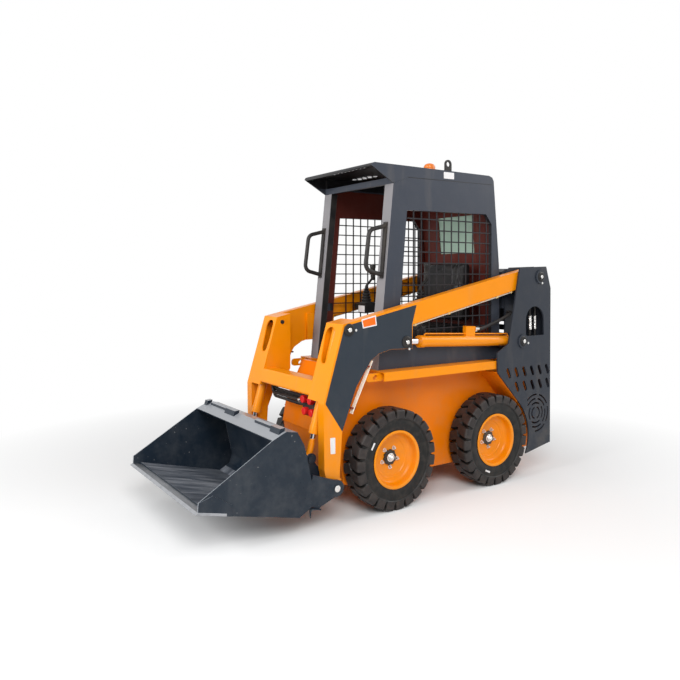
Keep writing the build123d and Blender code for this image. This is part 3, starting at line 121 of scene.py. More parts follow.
class Finish:
    """One procedural material, or another owner of nodes, built node by node."""

    def __init__(self, name, owner=None):
        self.material = owner or bpy.data.materials.new(name)
        self.material.use_nodes = True
        self.tree = self.material.node_tree
        self.tree.nodes.clear()

    def node(self, kind, settings, inputs, out=0):
        """Adds a node, sets it, feeds its sockets and hands back one output."""
        node = self.tree.nodes.new(kind)
        for key, setting in settings.items():
            if key == "stops":
                ramp = node.color_ramp
                while len(ramp.elements) < len(setting):
                    ramp.elements.new(0.5)
                for element, (place, colour) in zip(ramp.elements, setting):
                    element.position = place
                    element.color = (*colour[:3], 1.0)
            else:
                setattr(node, key, setting)
        for key, value in inputs.items():
            if isinstance(value, Value):
                self.tree.links.new(value.socket, node.inputs[key])
            else:
                node.inputs[key].default_value = value
        return Value(self, node.outputs[out]) if len(node.outputs) else None

    def place(self):
        """Object coordinates, which are the machine's own frame in metres."""
        return self.node("ShaderNodeTexCoord", {}, {}, "Object")

    def axes(self, vector):
        """The X, Y and Z parts of a vector."""
        split = self.node("ShaderNodeSeparateXYZ", {}, {0: vector})
        outputs = split.socket.node.outputs
        return [Value(self, outputs[i]) for i in range(3)]

    def normal_axes(self):
        """The X, Y and Z parts of the surface's direction."""
        return self.axes(self.node("ShaderNodeTexCoord", {}, {}, "Normal"))

    def stretched(self, vector, scale, turn=(0.0, 0.0, 0.0)):
        """A place with a scale of its own along each axis."""
        return self.node("ShaderNodeMapping", {}, {"Vector": vector, "Scale": scale, "Rotation": turn})

    def noise(self, vector, scale, detail=3.0, roughness=0.5):
        """Cloudy noise about 0.5."""
        return self.node("ShaderNodeTexNoise", {}, {
            "Vector": vector, "Scale": scale, "Detail": detail, "Roughness": roughness})

    def graded(self, factor, *stops):
        """A colour that changes with a factor; a stop is a place and a colour."""
        return self.node("ShaderNodeValToRGB", {"stops": stops}, {0: factor}, "Color")

    def mixed(self, factor, first, second):
        """Two colours mixed by a factor."""
        colour = lambda c: c if isinstance(c, Value) else (*c[:3], 1.0)
        return self.node("ShaderNodeMix", {"data_type": "RGBA"},
                         {0: factor, 6: colour(first), 7: colour(second)}, 2)

    def bump(self, height, distance, strength=1.0, normal=None):
        """A surface direction from heights, on top of another where one is given."""
        inputs = {"Height": height, "Distance": distance, "Strength": strength}
        if normal is not None:
            inputs["Normal"] = normal
        return self.node("ShaderNodeBump", {}, inputs)

    def surface(self, **inputs):
        """The Principled surface and the output; keys are socket names with _ for spaces."""
        named = {}
        for key, value in inputs.items():
            label = key.replace("_", " ")
            if label.endswith("Color") and not isinstance(value, Value):
                value = (*value[:3], 1.0)
            named[label] = value
        shader = self.node("ShaderNodeBsdfPrincipled", {}, named)
        self.node("ShaderNodeOutputMaterial", {}, {"Surface": shader})
        return self.material

    def shown_white(self):
        """1 on the rays that show plain white: what is seen, mirrored or seen through glass."""
        ray = lambda kind: self.node("ShaderNodeLightPath", {}, {}, f"Is {kind} Ray")
        return (ray("Camera") + ray("Glossy") + ray("Transmission")).clamped()


def linear(red, green, blue):
    """Scene colour of a display colour counted from 0 to 255."""
    part = lambda c: c / 12.92 if c <= 0.04045 else ((c + 0.055) / 1.055) ** 2.4
    return tuple(part(c / 255.0) for c in (red, green, blue))


# ---- surfaces --------------------------------------------------------------------
def side(*points):
    """Side outline in metres from (y, z) in millimetres, y counted rearward from the front axle."""
    return np.array(points, float) / 1000.0 + [AXLE_Y, 0.0]


def spot(x, y, z):
    """Point in metres from millimetres, y counted rearward from the front axle."""
    return np.array([x, y + 1000.0 * AXLE_Y, z]) / 1000.0


def skin(points, ring=True, loop=False, caps=True):
    """Faces over a grid of points; ring joins its last column to the first, loop its last row to
    the first, and caps closes the first and the last row with a face each. The faces come in
    blocks, whole arrays of point numbers."""
    rows, columns = points.shape[:2]
    i = np.arange(rows - (not loop))[:, None]
    j = np.arange(columns - (not ring))[None, :]
    after, beside = (i + 1) % rows, (j + 1) % columns
    corners = np.broadcast_arrays(
        i * columns + j, after * columns + j, after * columns + beside, i * columns + beside)
    blocks = [np.stack(corners, -1).reshape(-1, 4)]
    if caps and not loop:
        first = np.arange(columns)[None]
        blocks += [first, first[:, ::-1] + (rows - 1) * columns]
    return points.reshape(-1, 3), blocks


def rounded(points, radius, steps=6, closed=True):
    """Corners turned into curves: each is a quadratic curve between the two points a radius away
    from the corner along its edges, or half an edge away where that is less."""
    points = np.asarray(points, float)
    before, after = np.roll(points, 1, 0) - points, np.roll(points, -1, 0) - points
    length = [np.linalg.norm(edge, axis=1)[:, None] for edge in (before, after)]
    first = points + before * np.minimum(radius / length[0], 0.5)
    last = points + after * np.minimum(radius / length[1], 0.5)
    t = np.linspace(0.0, 1.0, steps)[:, None, None]
    curve = (1 - t) ** 2 * first + 2 * t * (1 - t) * points + t**2 * last
    curve = curve.transpose(1, 0, 2)
    if closed:
        return curve.reshape(-1, points.shape[1])
    return np.vstack([points[:1], curve[1:-1].reshape(-1, points.shape[1]), points[-1:]])


def inset(outline, depth):
    """Outline moved inward: each corner goes along the sum of its edges' normals over 1 plus
    their product."""
    ahead = np.roll(outline, -1, 0) - outline
    ahead /= np.linalg.norm(ahead, axis=1)[:, None]
    normal = np.stack([-ahead[:, 1], ahead[:, 0]], -1)
    before = np.roll(normal, 1, 0)
    lean = (normal + before) / (1.0 + (normal * before).sum(1))[:, None]
    following = np.roll(outline, -1, 0)
    area = (outline[:, 0] * following[:, 1] - outline[:, 1] * following[:, 0]).sum()
    return outline + depth * np.sign(area) * lean


def plate(outline, x0, x1, soft=0.0004):
    """Flat piece of a side outline: straight from the plane x0 to x1, its outer edge turned in by
    soft."""
    outline = np.asarray(outline, float)
    toward = np.sign(x1 - x0)
    rings = [(x0, outline), (x1 - toward * soft, outline), (x1, inset(outline, soft))]
    return skin(np.stack([np.column_stack([np.full(len(ring), x), ring]) for x, ring in rings]))


def turned(profile, at, axis=(1.0, 0.0, 0.0), count=48, loop=False, waves=None):
    """Turned shape: the profile's (radius, distance) pairs swept round the axis from the point at;
    waves gives a factor of the radius for each angle."""
    axis = np.array(axis, float) / np.linalg.norm(axis)
    other = np.array([0.0, 0.0, 1.0]) if abs(axis[2]) < 0.9 else np.array([0.0, 1.0, 0.0])
    first = np.cross(other, axis)
    first /= np.linalg.norm(first)
    second = np.cross(axis, first)
    angle = np.linspace(0.0, 2 * math.pi, count, endpoint=False)
    radius, reach = np.asarray(profile, float).T[:, :, None]
    radius = radius * (np.ones(count) if waves is None else waves(angle))
    ring = np.cos(angle)[:, None] * first + np.sin(angle)[:, None] * second
    points = np.asarray(at) + radius[..., None] * ring + reach[..., None] * axis
    return skin(points, loop=loop)


def tube(path, radius, count=14):
    """Round tube: a circle of the radius set square to the path at each of its points."""
    path = np.asarray(path, float)
    ahead = np.gradient(path, axis=0)
    ahead /= np.linalg.norm(ahead, axis=1)[:, None]
    normal = np.linalg.svd(path - path.mean(0))[2][2]
    up = normal - (ahead @ normal)[:, None] * ahead
    up /= np.linalg.norm(up, axis=1)[:, None]
    across = np.cross(ahead, up)
    angle = np.linspace(0.0, 2 * math.pi, count, endpoint=False)[:, None]
    ring = np.cos(angle) * up[:, None] + np.sin(angle) * across[:, None]
    return skin(path[:, None] + np.broadcast_to(radius, len(path))[:, None, None] * ring)


def piece(name, body, finish, *shapes, replaces=(), slot=None, crease=35.0, values=None):
    """One object of several shapes, its faces turned outward, riding on a body where one is named;
    values gives each point's wear value, which on a tyre also marks its slots for painted shade."""
    starts = np.cumsum([0] + [len(points) for points, _ in shapes])
    faces = [(block + start).tolist() for start, (_, blocks) in zip(starts, shapes) for block in blocks]
    points, faces = np.vstack([points for points, _ in shapes]), sum(faces, [])
    mesh = bpy.data.meshes.new(name)
    mesh.from_pydata(points.tolist(), [], faces)
    if values is not None:
        mesh.attributes.new("wear", "FLOAT", "POINT").data.foreach_set("value", np.ravel(values))
    shape = bmesh.new()
    shape.from_mesh(mesh)
    bmesh.ops.recalc_face_normals(shape, faces=shape.faces)
    shape.to_mesh(mesh)
    shape.free()
    mesh.shade_smooth()
    mesh.set_sharp_from_angle(angle=math.radians(crease))
    obj = bpy.data.objects.new(name, mesh)
    bpy.context.scene.collection.objects.link(obj)
    dress(obj, finish)
    if body:
        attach(obj, body)
    if replaces:
        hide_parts(*replaces)
    return obj


def mirrored(shape):
    """The same shape on the machine's other side."""
    points, blocks = shape
    return points * [-1.0, 1.0, 1.0], blocks


def pairs(shapes):
    """The shapes, and each again on the machine's other side."""
    return [*shapes, *(mirrored(shape) for shape in shapes)]


def both_sides(name, body, finish, *shapes, **more):
    """A piece made of the shapes on both sides of the machine."""
    return piece(name, body, finish, *pairs(shapes), **more)


def hexagon(angle):
    """A hexagon's radius at an angle: the reciprocal of the cosine within each sixth."""
    return 0.93 / np.cos((angle + math.pi / 6) % (math.pi / 3) - math.pi / 6)


# ---- finishes --------------------------------------------------------------------
def paint(name, colour, dust_colour, roughness, dust=0.35, wear=0.0, coat=0.04, change=None):
    """Sprayed paint: slight orange peel, cloudy tone, dust low down, scuffs and chips; change may
    turn the tone into another by place and normal."""
    f = Finish(name)
    at = f.place()
    x, y, z = f.axes(at)
    cloud = f.noise(at, 3.0, 4.0)
    fine = f.noise(at, 60.0, 3.0)
    tone = f.mixed(cloud.ramp(0.3, 0.7) * 0.6, colour, [c * 0.84 for c in colour])
    if change is not None:
        tone = change(f, tone, at, x, y, z)
    low = (1.0 - z.ramp(0.05, 0.75)) * 0.7
    grime = (f.noise(at, 9.0, 6.0, 0.65).ramp(0.42, 0.72) * (low + 0.1) * dust * 1.6).clamped()
    tone = f.mixed(grime, tone, dust_colour)
    streaks = f.noise(f.stretched(at, (40.0, 9.0, 2.0)), 1.0, 4.0).ramp(0.6, 0.8) * 0.12
    tone = f.mixed(streaks, tone, dust_colour)
    if wear:
        chips = (f.noise(at, 55.0, 2.0).ramp(0.73 - wear, 0.75 - wear)
                 * f.noise(at, 5.0, 2.0).ramp(0.5, 0.6))
        tone = f.mixed(chips, tone, (0.2, 0.2, 0.2))
    rough = roughness + grime * 0.35 + streaks + (fine - 0.5) * 0.12
    normal = f.bump(f.noise(at, 700.0, 1.0), 0.0002, 0.25)
    normal = f.bump(f.noise(at, 6.0, 2.0), 0.004, 0.2, normal)
    return f.surface(Base_Color=tone, Roughness=rough, Normal=normal, Specular_IOR_Level=0.22,
                     Coat_Weight=coat, Coat_Roughness=0.12)


def metal(name, colour, roughness, brushed=0.0, spots=0.2):
    """Bare or plated metal: fine scratches along the machine and a few dull spots."""
    f = Finish(name)
    at = f.place()
    fine = f.noise(f.stretched(at, (300.0, 20.0, 300.0)), 1.0, 3.0)
    dull = f.noise(at, 25.0, 4.0).ramp(0.5, 0.75) * spots
    tone = f.mixed(dull, colour, [c * 0.5 for c in colour])
    rough = roughness + (fine - 0.5) * brushed + dull * 0.4
    return f.surface(Base_Color=tone, Metallic=1.0, Roughness=rough,
                     Normal=f.bump(fine, 0.0002, brushed))


def moulded(name, colour, roughness, grain=350.0, depth=0.0002, dust=0.15):
    """Moulded plastic or rubber with a fine grain and a trace of dust."""
    f = Finish(name)
    at = f.place()
    grain_height = f.noise(at, grain, 2.0)
    cloud = f.noise(at, 8.0, 5.0).ramp(0.4, 0.8) * dust
    tone = f.mixed(cloud, colour, linear(120, 112, 104))
    return f.surface(Base_Color=tone, Roughness=roughness + cloud * 0.3, Specular_IOR_Level=0.25,
                     Normal=f.bump(grain_height, depth, 0.6))


def painted_rod(orange):
    """Chrome above the rod's neck, orange paint on the neck and the eye."""
    f = Finish("painted_rod")
    x, y, z = f.axes(f.place())
    bare = z.ramp(0.4495, 0.4525)
    tone = f.mixed(bare, orange, linear(205, 207, 210))
    return f.surface(Base_Color=tone, Metallic=bare, Roughness=0.38 - bare * 0.24)


def slot_light():
    """Self-lit white of the marks under the visor: painted light that stands for the sky seen through the
    slots; no light comes through them.
    """
    f = Finish("slot_light")
    return f.surface(Base_Color=linear(230, 230, 230), Roughness=0.5,
                     Emission_Color=linear(225, 225, 225), Emission_Strength=0.8)


def tyre_rubber():
    """Rubber with painted shade in the slots, drawn near black, a dark sidewall, and dusty brown on the
    lugs' tops.
    """
    f = Finish("tyre_rubber")
    at = f.place()
    wear = f.node("ShaderNodeAttribute", {"attribute_name": "wear"}, {}, "Fac")
    # The slot colour is painted shade: the slots' floor is the same rubber, drawn near black for the
    # shadow in them.
    slot, sidewall, tread = linear(4, 4, 4), linear(15, 15, 14), linear(42, 37, 36)
    tone = f.graded(wear, (0.0, slot), (0.35, sidewall), (0.6, sidewall), (0.95, tread))
    scuffs = f.noise(at, 22.0, 6.0, 0.6).ramp(0.45, 0.75)
    tone = f.mixed(scuffs * 0.3, tone, linear(92, 84, 78))
    smudges = f.noise(at, 5.0, 3.0).ramp(0.5, 0.7)
    tone = f.mixed(smudges * 0.22, tone, linear(30, 29, 28))
    normal = f.bump(f.noise(at, 260.0, 3.0), 0.0005, 0.5)
    normal = f.bump(f.noise(at, 40.0, 3.0), 0.002, 0.35, normal)
    return f.surface(Base_Color=tone, Roughness=0.42 + scuffs * 0.25, Specular_IOR_Level=0.3,
                     Normal=normal)


def bucket_wear(f, tone, at, x, y, z):
    """Bare scraped steel on the bucket's floor, and a paler lip and side edges."""
    across, along, upward = f.normal_axes()
    heel, lip = side((-661, 99.8), (-1223, 227.5))
    slope = float((lip[1] - heel[1]) / (lip[0] - heel[0]))
    height = z - float(heel[1]) - (y - float(heel[0])) * slope
    floor = (upward > 0.8) * (height < 0.04) * (height > 0.004)
    scrapes = f.noise(f.stretched(at, (22.0, 3.0, 3.0), (0.0, 0.0, 0.5)), 1.0, 6.0, 0.7)
    bare = f.graded(scrapes, (0.3, linear(44, 48, 56)), (0.48, linear(92, 97, 106)),
                    (0.66, linear(156, 159, 166)))
    edge = (z > 0.498) * (upward > 0.75)
    rim = (x.size() > 0.474) * (across.size() < 0.5) * (z > 0.23)
    tone = f.mixed(floor * 0.9, tone, bare)
    tone = f.mixed(edge * 0.85, tone, linear(150, 153, 158))
    return f.mixed(rim * 0.75, tone, linear(142, 147, 154))


def mesh_black(f, tone, at, x, y, z):
    """Black mesh and window edges set in the cab's side."""
    (y0, z0), (y1, z1) = side((70, 940), (874, 1730))
    deep = (x.size() > 0.3) * (x.size() < 0.3585)
    inside = (y > float(y0)) * (y < float(y1)) * (z > float(z0)) * (z < float(z1))
    return f.mixed(deep * inside * 0.85, tone, linear(24, 20, 22))


def visor_painted_shade(f, tone, at, x, y, z):
    """Painted shade: the roof's underside and its inner faces drawn near black, as they lie in shadow."""
    across, along, upward = f.normal_axes()
    inside = (x.size() < 0.3575) * (z > 1.902) * (upward < 0.5)
    # The near-black mix is painted shade, on faces that look down and on faces inside the visor.
    return f.mixed((inside + (upward < -0.1)).clamped() * 0.92, tone, linear(10, 10, 12))


def finishes():
    """Every finish by its name, made at the first call."""
    if FINISHES:
        return FINISHES
    look = bpy.context.scene.loader_paint
    dust = linear(150, 138, 122)
    FINISHES.update({
        "orange": paint("orange_paint", look.orange, dust, 0.3, 0.15),
        "painted_rod": painted_rod(look.orange),
        "slot_light": slot_light(),
        # Painted shade: the arms' orange made deeper and redder on the chassis, front sheet and wheel
        # panels.
        "shaded_orange": paint("shaded_orange_paint", look.shaded_orange, dust, 0.32, 0.2, coat=0.0),
        "slate": paint("slate_paint", look.tower, dust, 0.36, 0.15),
        "cab": paint("cab_paint", look.slate, dust, 0.36, 0.15, change=mesh_black),
        # The roof's paint carries painted shade on the visor's underside.
        "roof": paint("roof_paint_and_shade", look.slate, dust, 0.36, 0.15, change=visor_painted_shade),
        "panel": paint("panel_paint", look.panel, dust, 0.34, 0.12),
        "bucket": paint("bucket_paint", look.bucket, linear(120, 120, 120), 0.3, 0.15, 0.02, 0.08,
                        bucket_wear),
        "maroon": paint("maroon_paint", look.maroon, dust, 0.45, 0.2, coat=0.0),
        "dark": paint("dark_steel", linear(40, 38, 38), dust, 0.42, 0.3, coat=0.0),
        "chrome": metal("chrome_rod", (0.82, 0.82, 0.84), 0.12, 0.02),
        "edge": metal("edge_steel", (0.4, 0.41, 0.43), 0.42, 0.2, 0.5),
        "zinc": metal("zinc_fitting", (0.78, 0.77, 0.75), 0.24, 0.05, 0.25),
        "line": paint("line_paint", linear(226, 216, 200), dust, 0.4, 0.3),
        "brass": metal("brass_clamp", (0.75, 0.55, 0.25), 0.35, 0.05, 0.3),
        "rust": paint("clamp_paint", linear(120, 44, 20), dust, 0.5, 0.3),
        # A painted highlight: the slate door posts' front faces drawn light grey, as if lit from the
        # front.
        "post_highlight": paint("post_highlight_paint", look.post_highlight, dust, 0.3, 0.1, coat=0.1),
        "iron": paint("engine_iron", linear(62, 60, 58), dust, 0.55, 0.4, coat=0.0),
        "black": moulded("black_plastic", linear(26, 26, 27), 0.4),
        "hose": moulded("hose_rubber", linear(34, 33, 34), 0.5, 500.0, 0.0003, 0.25),
        "red": moulded("red_plastic", linear(224, 34, 34), 0.32, 300.0, 0.0001, 0.05),
        "rubber": tyre_rubber(),
        "vinyl": moulded("seat_vinyl", linear(24, 23, 24), 0.4, 500.0, 0.0004, 0.06),
        "plate_white": paint("plate_white", linear(226, 224, 224), dust, 0.35, 0.1),
        "plate_orange": paint("plate_orange", linear(246, 108, 20), dust, 0.35, 0.1),
        "amber": Finish("amber_lens").surface(
            Base_Color=linear(240, 128, 30), Roughness=0.18, Transmission_Weight=0.2, IOR=1.49),
        "glass": Finish("tinted_glass").surface(
            Base_Color=linear(168, 192, 176), Roughness=0.12, Transmission_Weight=0.35, IOR=1.3),
    })
    return FINISHES


# Each finish and the starts of the names of the nodes that wear it; all other nodes are black.
NODE_FINISHES = {
    "rubber": "tyre", "orange": "rim fender lift_arm arm_cross lift_barrel tilt_barrel",
    # The chassis, front sheet and wheel panels wear the orange with painted shade.
    "shaded_orange": "chassis front_sheet wheel_panels", "slate": "tower engine_hood rear_frame rear_door",
    "cab": "cab_side", "roof": "cab_roof", "maroon": "cab_rear_wall cab_liners floor_pan",
    "dark": "hub axle arm_couplers arm_pins lifting grab_handles", "bucket": "bucket",
    "edge": "cutting_edge", "chrome": "lift_rod", "painted_rod": "tilt_rod", "line": "arm_lines",
    "red": "coupler_caps", "hose": "lift_hoses", "vinyl": "seat_cushion seat_back",
    "glass": "rear_window", "amber": "beacon", "iron": "engine_block"}


def finish_of(node):
    """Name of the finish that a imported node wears."""
    fits = (finish for finish, starts in NODE_FINISHES.items() if node.startswith(tuple(starts.split())))
    return next(fits, "black")


def dress(obj, finish):
    """Gives an object one finish by its name, in place of any it has."""
    obj.data.materials.clear()
    obj.data.materials.append(finishes()[finish])


# ---- settings --------------------------------------------------------------------
class LoaderPaint(bpy.types.PropertyGroup):
    """Colours of the machine's finishes."""

    orange: bpy.props.FloatVectorProperty(
        name="Orange", description="Paint of the arms, chassis and rims", subtype="COLOR",
        size=3, min=0.0, max=1.0, default=linear(238, 141, 0))
    # Painted shade: the same orange paint drawn deeper and redder where the chassis lies in shade.
    shaded_orange: bpy.props.FloatVectorProperty(
        name="Chassis orange", description="Paint of the chassis under the fenders", subtype="COLOR",
        size=3, min=0.0, max=1.0, default=linear(240, 124, 2))
    tower: bpy.props.FloatVectorProperty(
        name="Tower slate", description="Paint of the towers, hood and rear door", subtype="COLOR",
        size=3, min=0.0, max=1.0, default=linear(44, 49, 58))
    slate: bpy.props.FloatVectorProperty(
        name="Slate", description="Paint of the cab", subtype="COLOR",
        size=3, min=0.0, max=1.0, default=linear(56, 61, 71))
    panel: bpy.props.FloatVectorProperty(
        name="Arm panel", description="Dark panel on each arm", subtype="COLOR",
        size=3, min=0.0, max=1.0, default=linear(42, 50, 59))
    # A painted highlight: the slate door posts' front faces drawn light grey, as if lit from the front.
    post_highlight: bpy.props.FloatVectorProperty(
        name="Door posts", description="Paint of the door posts' front faces", subtype="COLOR",
        size=3, min=0.0, max=1.0, default=linear(130, 128, 131))
    bucket: bpy.props.FloatVectorProperty(
        name="Bucket", description="Paint of the bucket", subtype="COLOR",
        size=3, min=0.0, max=1.0, default=linear(29, 39, 50))
    maroon: bpy.props.FloatVectorProperty(
        name="Maroon", description="Primer inside the cab", subtype="COLOR",
        size=3, min=0.0, max=1.0, default=linear(84, 30, 22))


class LoaderSizes(bpy.types.PropertyGroup):
    """Sizes of the fitted parts."""

    slot: bpy.props.FloatProperty(
        name="Tread slot", description="Width of a slot between two lugs at the tread",
        unit="LENGTH", subtype="DISTANCE", default=0.019)
    pin: bpy.props.FloatProperty(
        name="Pin", description="Radius of a pivot pin's end", unit="LENGTH", subtype="DISTANCE",
        default=0.012)
    pin_disc: bpy.props.FloatProperty(
        name="Pin disc", description="Radius of the disc under a pin's end", unit="LENGTH",
        subtype="DISTANCE", default=0.034)
    hose: bpy.props.FloatProperty(
        name="Hose", description="Radius of a hydraulic hose", unit="LENGTH", subtype="DISTANCE",
        default=0.0085)
    panel_rise: bpy.props.FloatProperty(
        name="Panel's rise", description="How far the dark panel stands out of the arm",
        unit="LENGTH", subtype="DISTANCE", default=0.0008)


class LoaderStage(bpy.types.PropertyGroup):
    """The camera."""

    lens: bpy.props.FloatProperty(
        name="Lens", description="Focal length on a 36 mm sensor, in millimetres", default=34.984)
    place: bpy.props.FloatVectorProperty(
        name="Camera", description="Where the camera stands", subtype="TRANSLATION", unit="LENGTH",
        size=3, default=(3.3391, -2.4605, 1.3322))
    heading: bpy.props.FloatProperty(
        name="Heading", description="Turn of the view from the rear towards the right side",
        subtype="ANGLE", default=math.radians(55.886))
    dip: bpy.props.FloatProperty(
        name="Dip", description="How far the view looks down", subtype="ANGLE",
        default=math.radians(0.32))
    roll: bpy.props.FloatProperty(
        name="Roll", description="Roll of the camera", subtype="ANGLE", default=math.radians(0.08))


# ---- wheels ----------------------------------------------------------------------
WHEELS = ("front_left", "front_right", "rear_left", "rear_right")
LUGS = 23
LUG_LEAN = math.radians(17.0)
TREAD_RADIUS = 0.285
# The tyre's carcass, and the lugs' tops over it, from the outer bead to the middle: (reach, radius).
CARCASS = [
    (56.5, 152.7), (59.5, 165.5), (60.5, 170), (64, 184), (66.5, 200), (67, 214), (66, 224),
    (67, 228.5), (71, 231.5), (72, 235), (69, 238.5), (67, 246), (64.5, 254), (60, 259.5), (50, 262.5),
    (35, 264), (20, 264.5), (12, 264.5), (7, 264.5), (0, 264.5)]
LUG_TOPS = CARCASS[:8] + [
    (71.5, 232), (72.8, 237), (73, 246), (73, 262), (72.5, 272), (70, 279.5), (63, 284), (48, 284.9),
    (28, 284.9), (14, 284.9), (8, 284.9), (0, 284.9)]


def wheel_middle(place):
    """Middle of a wheel, and 1 on the machine's left side or -1 on its right."""
    low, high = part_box("tyre_" + place)
    return np.array((low + high) / 2), (1.0 if place.endswith("left") else -1.0)


def tyre_shape(place, slot):
    """Tyre: two cross-sections against v, from the outer bead over the tread to the inner one, and
    the angle u. The surface lies on the lugs' tops where a lug stands and on the carcass in the
    slots. A lug's edge is a short ramp in the angle; the angle leans with v and is half a pitch
    on between the two rows. Returns the shape and each point's wear value: 0 in the slots, which
    the finish fills with painted shade, 0.48 on the sidewall and 1 on the lugs' tops."""
    middle, out = wheel_middle(place)
    corners = len(CARCASS)
    run = np.linspace(0, corners - 1, 3 * corners)
    sections = []
    for section in (CARCASS, LUG_TOPS):
        reach, radius = np.array(section, float).T / 1000.0
        half = np.stack([np.interp(run, np.arange(corners), line) for line in (reach, radius)], -1)
        sections.append(np.vstack([half, half[-2::-1] * [-1.0, 1.0]]))
    base, top = sections
    pitch = 2 * math.pi / LUGS
    half_lug = 0.5 - 0.5 * slot / (pitch * TREAD_RADIUS)
    steps = np.array([0.0, 0.45, 0.8, 0.93, 1.0]) * half_lug
    foot = half_lug + (0.5 - half_lug) * np.array([0.3, 0.6])
    phases = np.concatenate([steps, foot, [0.5], 1.0 - foot[::-1], 1.0 - steps[:0:-1]])
    away = np.minimum(phases, 1.0 - phases)
    stands = np.interp(away, [0.0, 0.93 * half_lug, half_lug, foot[1], 0.5], [1.0, 1.0, 0.93, 0.0, 0.0])
    angle = ((np.arange(LUGS)[:, None] + phases) * pitch).ravel()
    lug = np.tile(stands, LUGS)[:, None]
    reach = base[:, 0]
    band = np.interp(np.abs(reach), [0.0, 0.008, 0.014], [0.8, 0.8, 0.0])
    mask = np.maximum(lug, band)
    points = base + mask[..., None] * (top - base)
    lean = np.clip(np.abs(top[:, 0]) - 0.01, 0.0, 0.055) * math.tan(LUG_LEAN) / TREAD_RADIUS
    row = 0.25 * pitch * np.tanh(top[:, 0] / 0.006)
    turn = angle[:, None] + (lean + row)
    xyz = np.stack([middle[0] + out * points[..., 0], middle[1] + points[..., 1] * np.cos(turn),
                    middle[2] + points[..., 1] * np.sin(turn)], -1)
    tread = np.interp(base[:, 1], [0.229, 0.236], [0.0, 1.0])
    # 0 in the slots marks them for painted shade in the finish; the lugs' tops get 1.
    wear = 0.48 * (1 - tread) + tread * mask
    return skin(xyz, loop=True), wear


class LOADER_OT_tyres(bpy.types.Operator):
    """Put a lugged tyre on each wheel"""

    bl_idname = "loader.tyres"
    bl_label = "Tyres"

    def execute(self, context):
        for place in WHEELS:
            shape, wear = tyre_shape(place, context.scene.loader_sizes.slot)
            piece("tyre_tread_" + place, "wheel_" + place, "rubber", shape, values=wear,
                  replaces=["tyre_" + place], slot="tyre", crease=28.0)
        return {"FINISHED"}


class LOADER_OT_rims(bpy.types.Operator):
    """Put a deep rolled rim on each wheel"""

    bl_idname = "loader.rims"
    bl_label = "Rims"
    section = [
        (165, 60), (166, 63), (163, 65), (154, 65), (148.5, 61), (147, 52), (146, 34), (143, 22),
        (134, 12), (120, 6), (112, 5), (108, -1), (98, -3), (90, -6), (76, -9), (60, -10), (22, -10),
        (22, -18), (64, -18), (96, -12), (114, -4), (132, 0), (146, -4), (147, -20), (147.4, -58),
        (150, -64), (163, -65), (166, -63), (165, -60), (158, -59), (153, -54), (152.4, -40),
        (152.4, 40), (153, 54), (158, 59)]

    def execute(self, context):
        """The section is rounded at its corners and swept round the axle."""
        for place in WHEELS:
            middle, out = wheel_middle(place)
            profile = rounded(np.array(self.section) / 1000.0, 0.004, 4) * [1.0, out]
            piece("rim_bowl_" + place, "wheel_" + place, "orange",
                  turned(profile, middle, count=96, loop=True), replaces=["rim_" + place],
                  slot="orange_paint", crease=50.0)
        return {"FINISHED"}


class LOADER_OT_hubs(bpy.types.Operator):
    """Fit each wheel's hub, its scalloped ring and its nuts"""

    bl_idname = "loader.hubs"
    bl_label = "Hubs"
    shaft = [
        (0.2, -84.5), (21, -84.5), (22, -83), (22, -54), (45, -53.5), (46, -52), (46, -19), (45, -18.2),
        (21.5, -18.2), (21.5, -9.8), (38, -9.8), (38, -2), (36, 0), (24, 0), (22, 1), (0.2, 1)]
    stub = [(0.2, 0), (25, 0), (26, 1.5), (25, 4), (19, 5), (19, 13), (17, 15), (11, 15), (11, 22),
            (9, 24), (0.2, 24)]
    nut = [(0.2, 0), (11.5, 0), (12, 1), (11.5, 2), (8.6, 2.2), (8.6, 9), (7.6, 10.5), (5, 11),
           (5, 16), (4, 17.5), (0.2, 17.5)]

    ring = [(0.2, 0.2), (42, 0.2), (43, 1.5), (43, 9), (41, 11), (29, 11.5), (27, 9), (0.2, 9)]
    tag = [(-21, 0), (21, 0), (21, 11), (-21, 11)]
    nut_circle, first_nut, nuts = 0.058, 57.0, 5

    def execute(self, context):
        for place in WHEELS:
            self.fitted(place)
        return {"FINISHED"}

    def fitted(self, place):
        """Turned profiles; the ring's radius goes up and down ten times round."""
        middle, out = wheel_middle(place)
        body, disc = "wheel_" + place, middle + [-0.010 * out, 0.0, 0.0]

        def part(profile, at, **more):
            return turned(np.array(profile, float) / 1000.0 * [1.0, out], at, **more)

        scallops = lambda a: 1.0 + 0.06 * np.sign(np.sin(10 * a)) * np.abs(np.sin(10 * a)) ** 0.5
        piece("hub_ring_" + place, body, "dark", part(self.shaft, middle, count=48),
              part(self.ring, disc, count=192, waves=scallops), replaces=["hub_" + place],
              slot="dark_steel")
        turns = np.radians(self.first_nut + 360.0 / self.nuts * np.arange(self.nuts))
        spots = disc + self.nut_circle * np.stack([0.0 * turns, np.cos(turns), np.sin(turns)], -1)
        tilt = math.radians(150.0 if "front" in place else 247.0)
        facing = np.array([[-math.sin(tilt), math.cos(tilt)], [math.cos(tilt), math.sin(tilt)]])
        tag = rounded(np.array(self.tag) / 1000.0, 0.002, 3) @ facing + middle[1:] + 0.196 * facing[1]
        piece("sidewall_tag_" + place, body, "plate_white",
              plate(tag, middle[0] + 0.060 * out, middle[0] + 0.0678 * out))
        piece("hub_nuts_" + place, body, "zinc", part(self.stub, disc + [0.011 * out, 0, 0]),
              *(part(self.nut, at, count=36, waves=hexagon) for at in spots), slot="bare_steel")


# ---- arms ------------------------------------------------------------------------
ARM_FACE = 0.4427
PANEL_OUTLINE = [
    (-358, 1054), (151, 1158), (117, 1044), (117, 907), (-40, 912), (-121, 894), (-179, 860), (-280, 722),
    (-348, 552), (-372, 492), (-480, 650)]


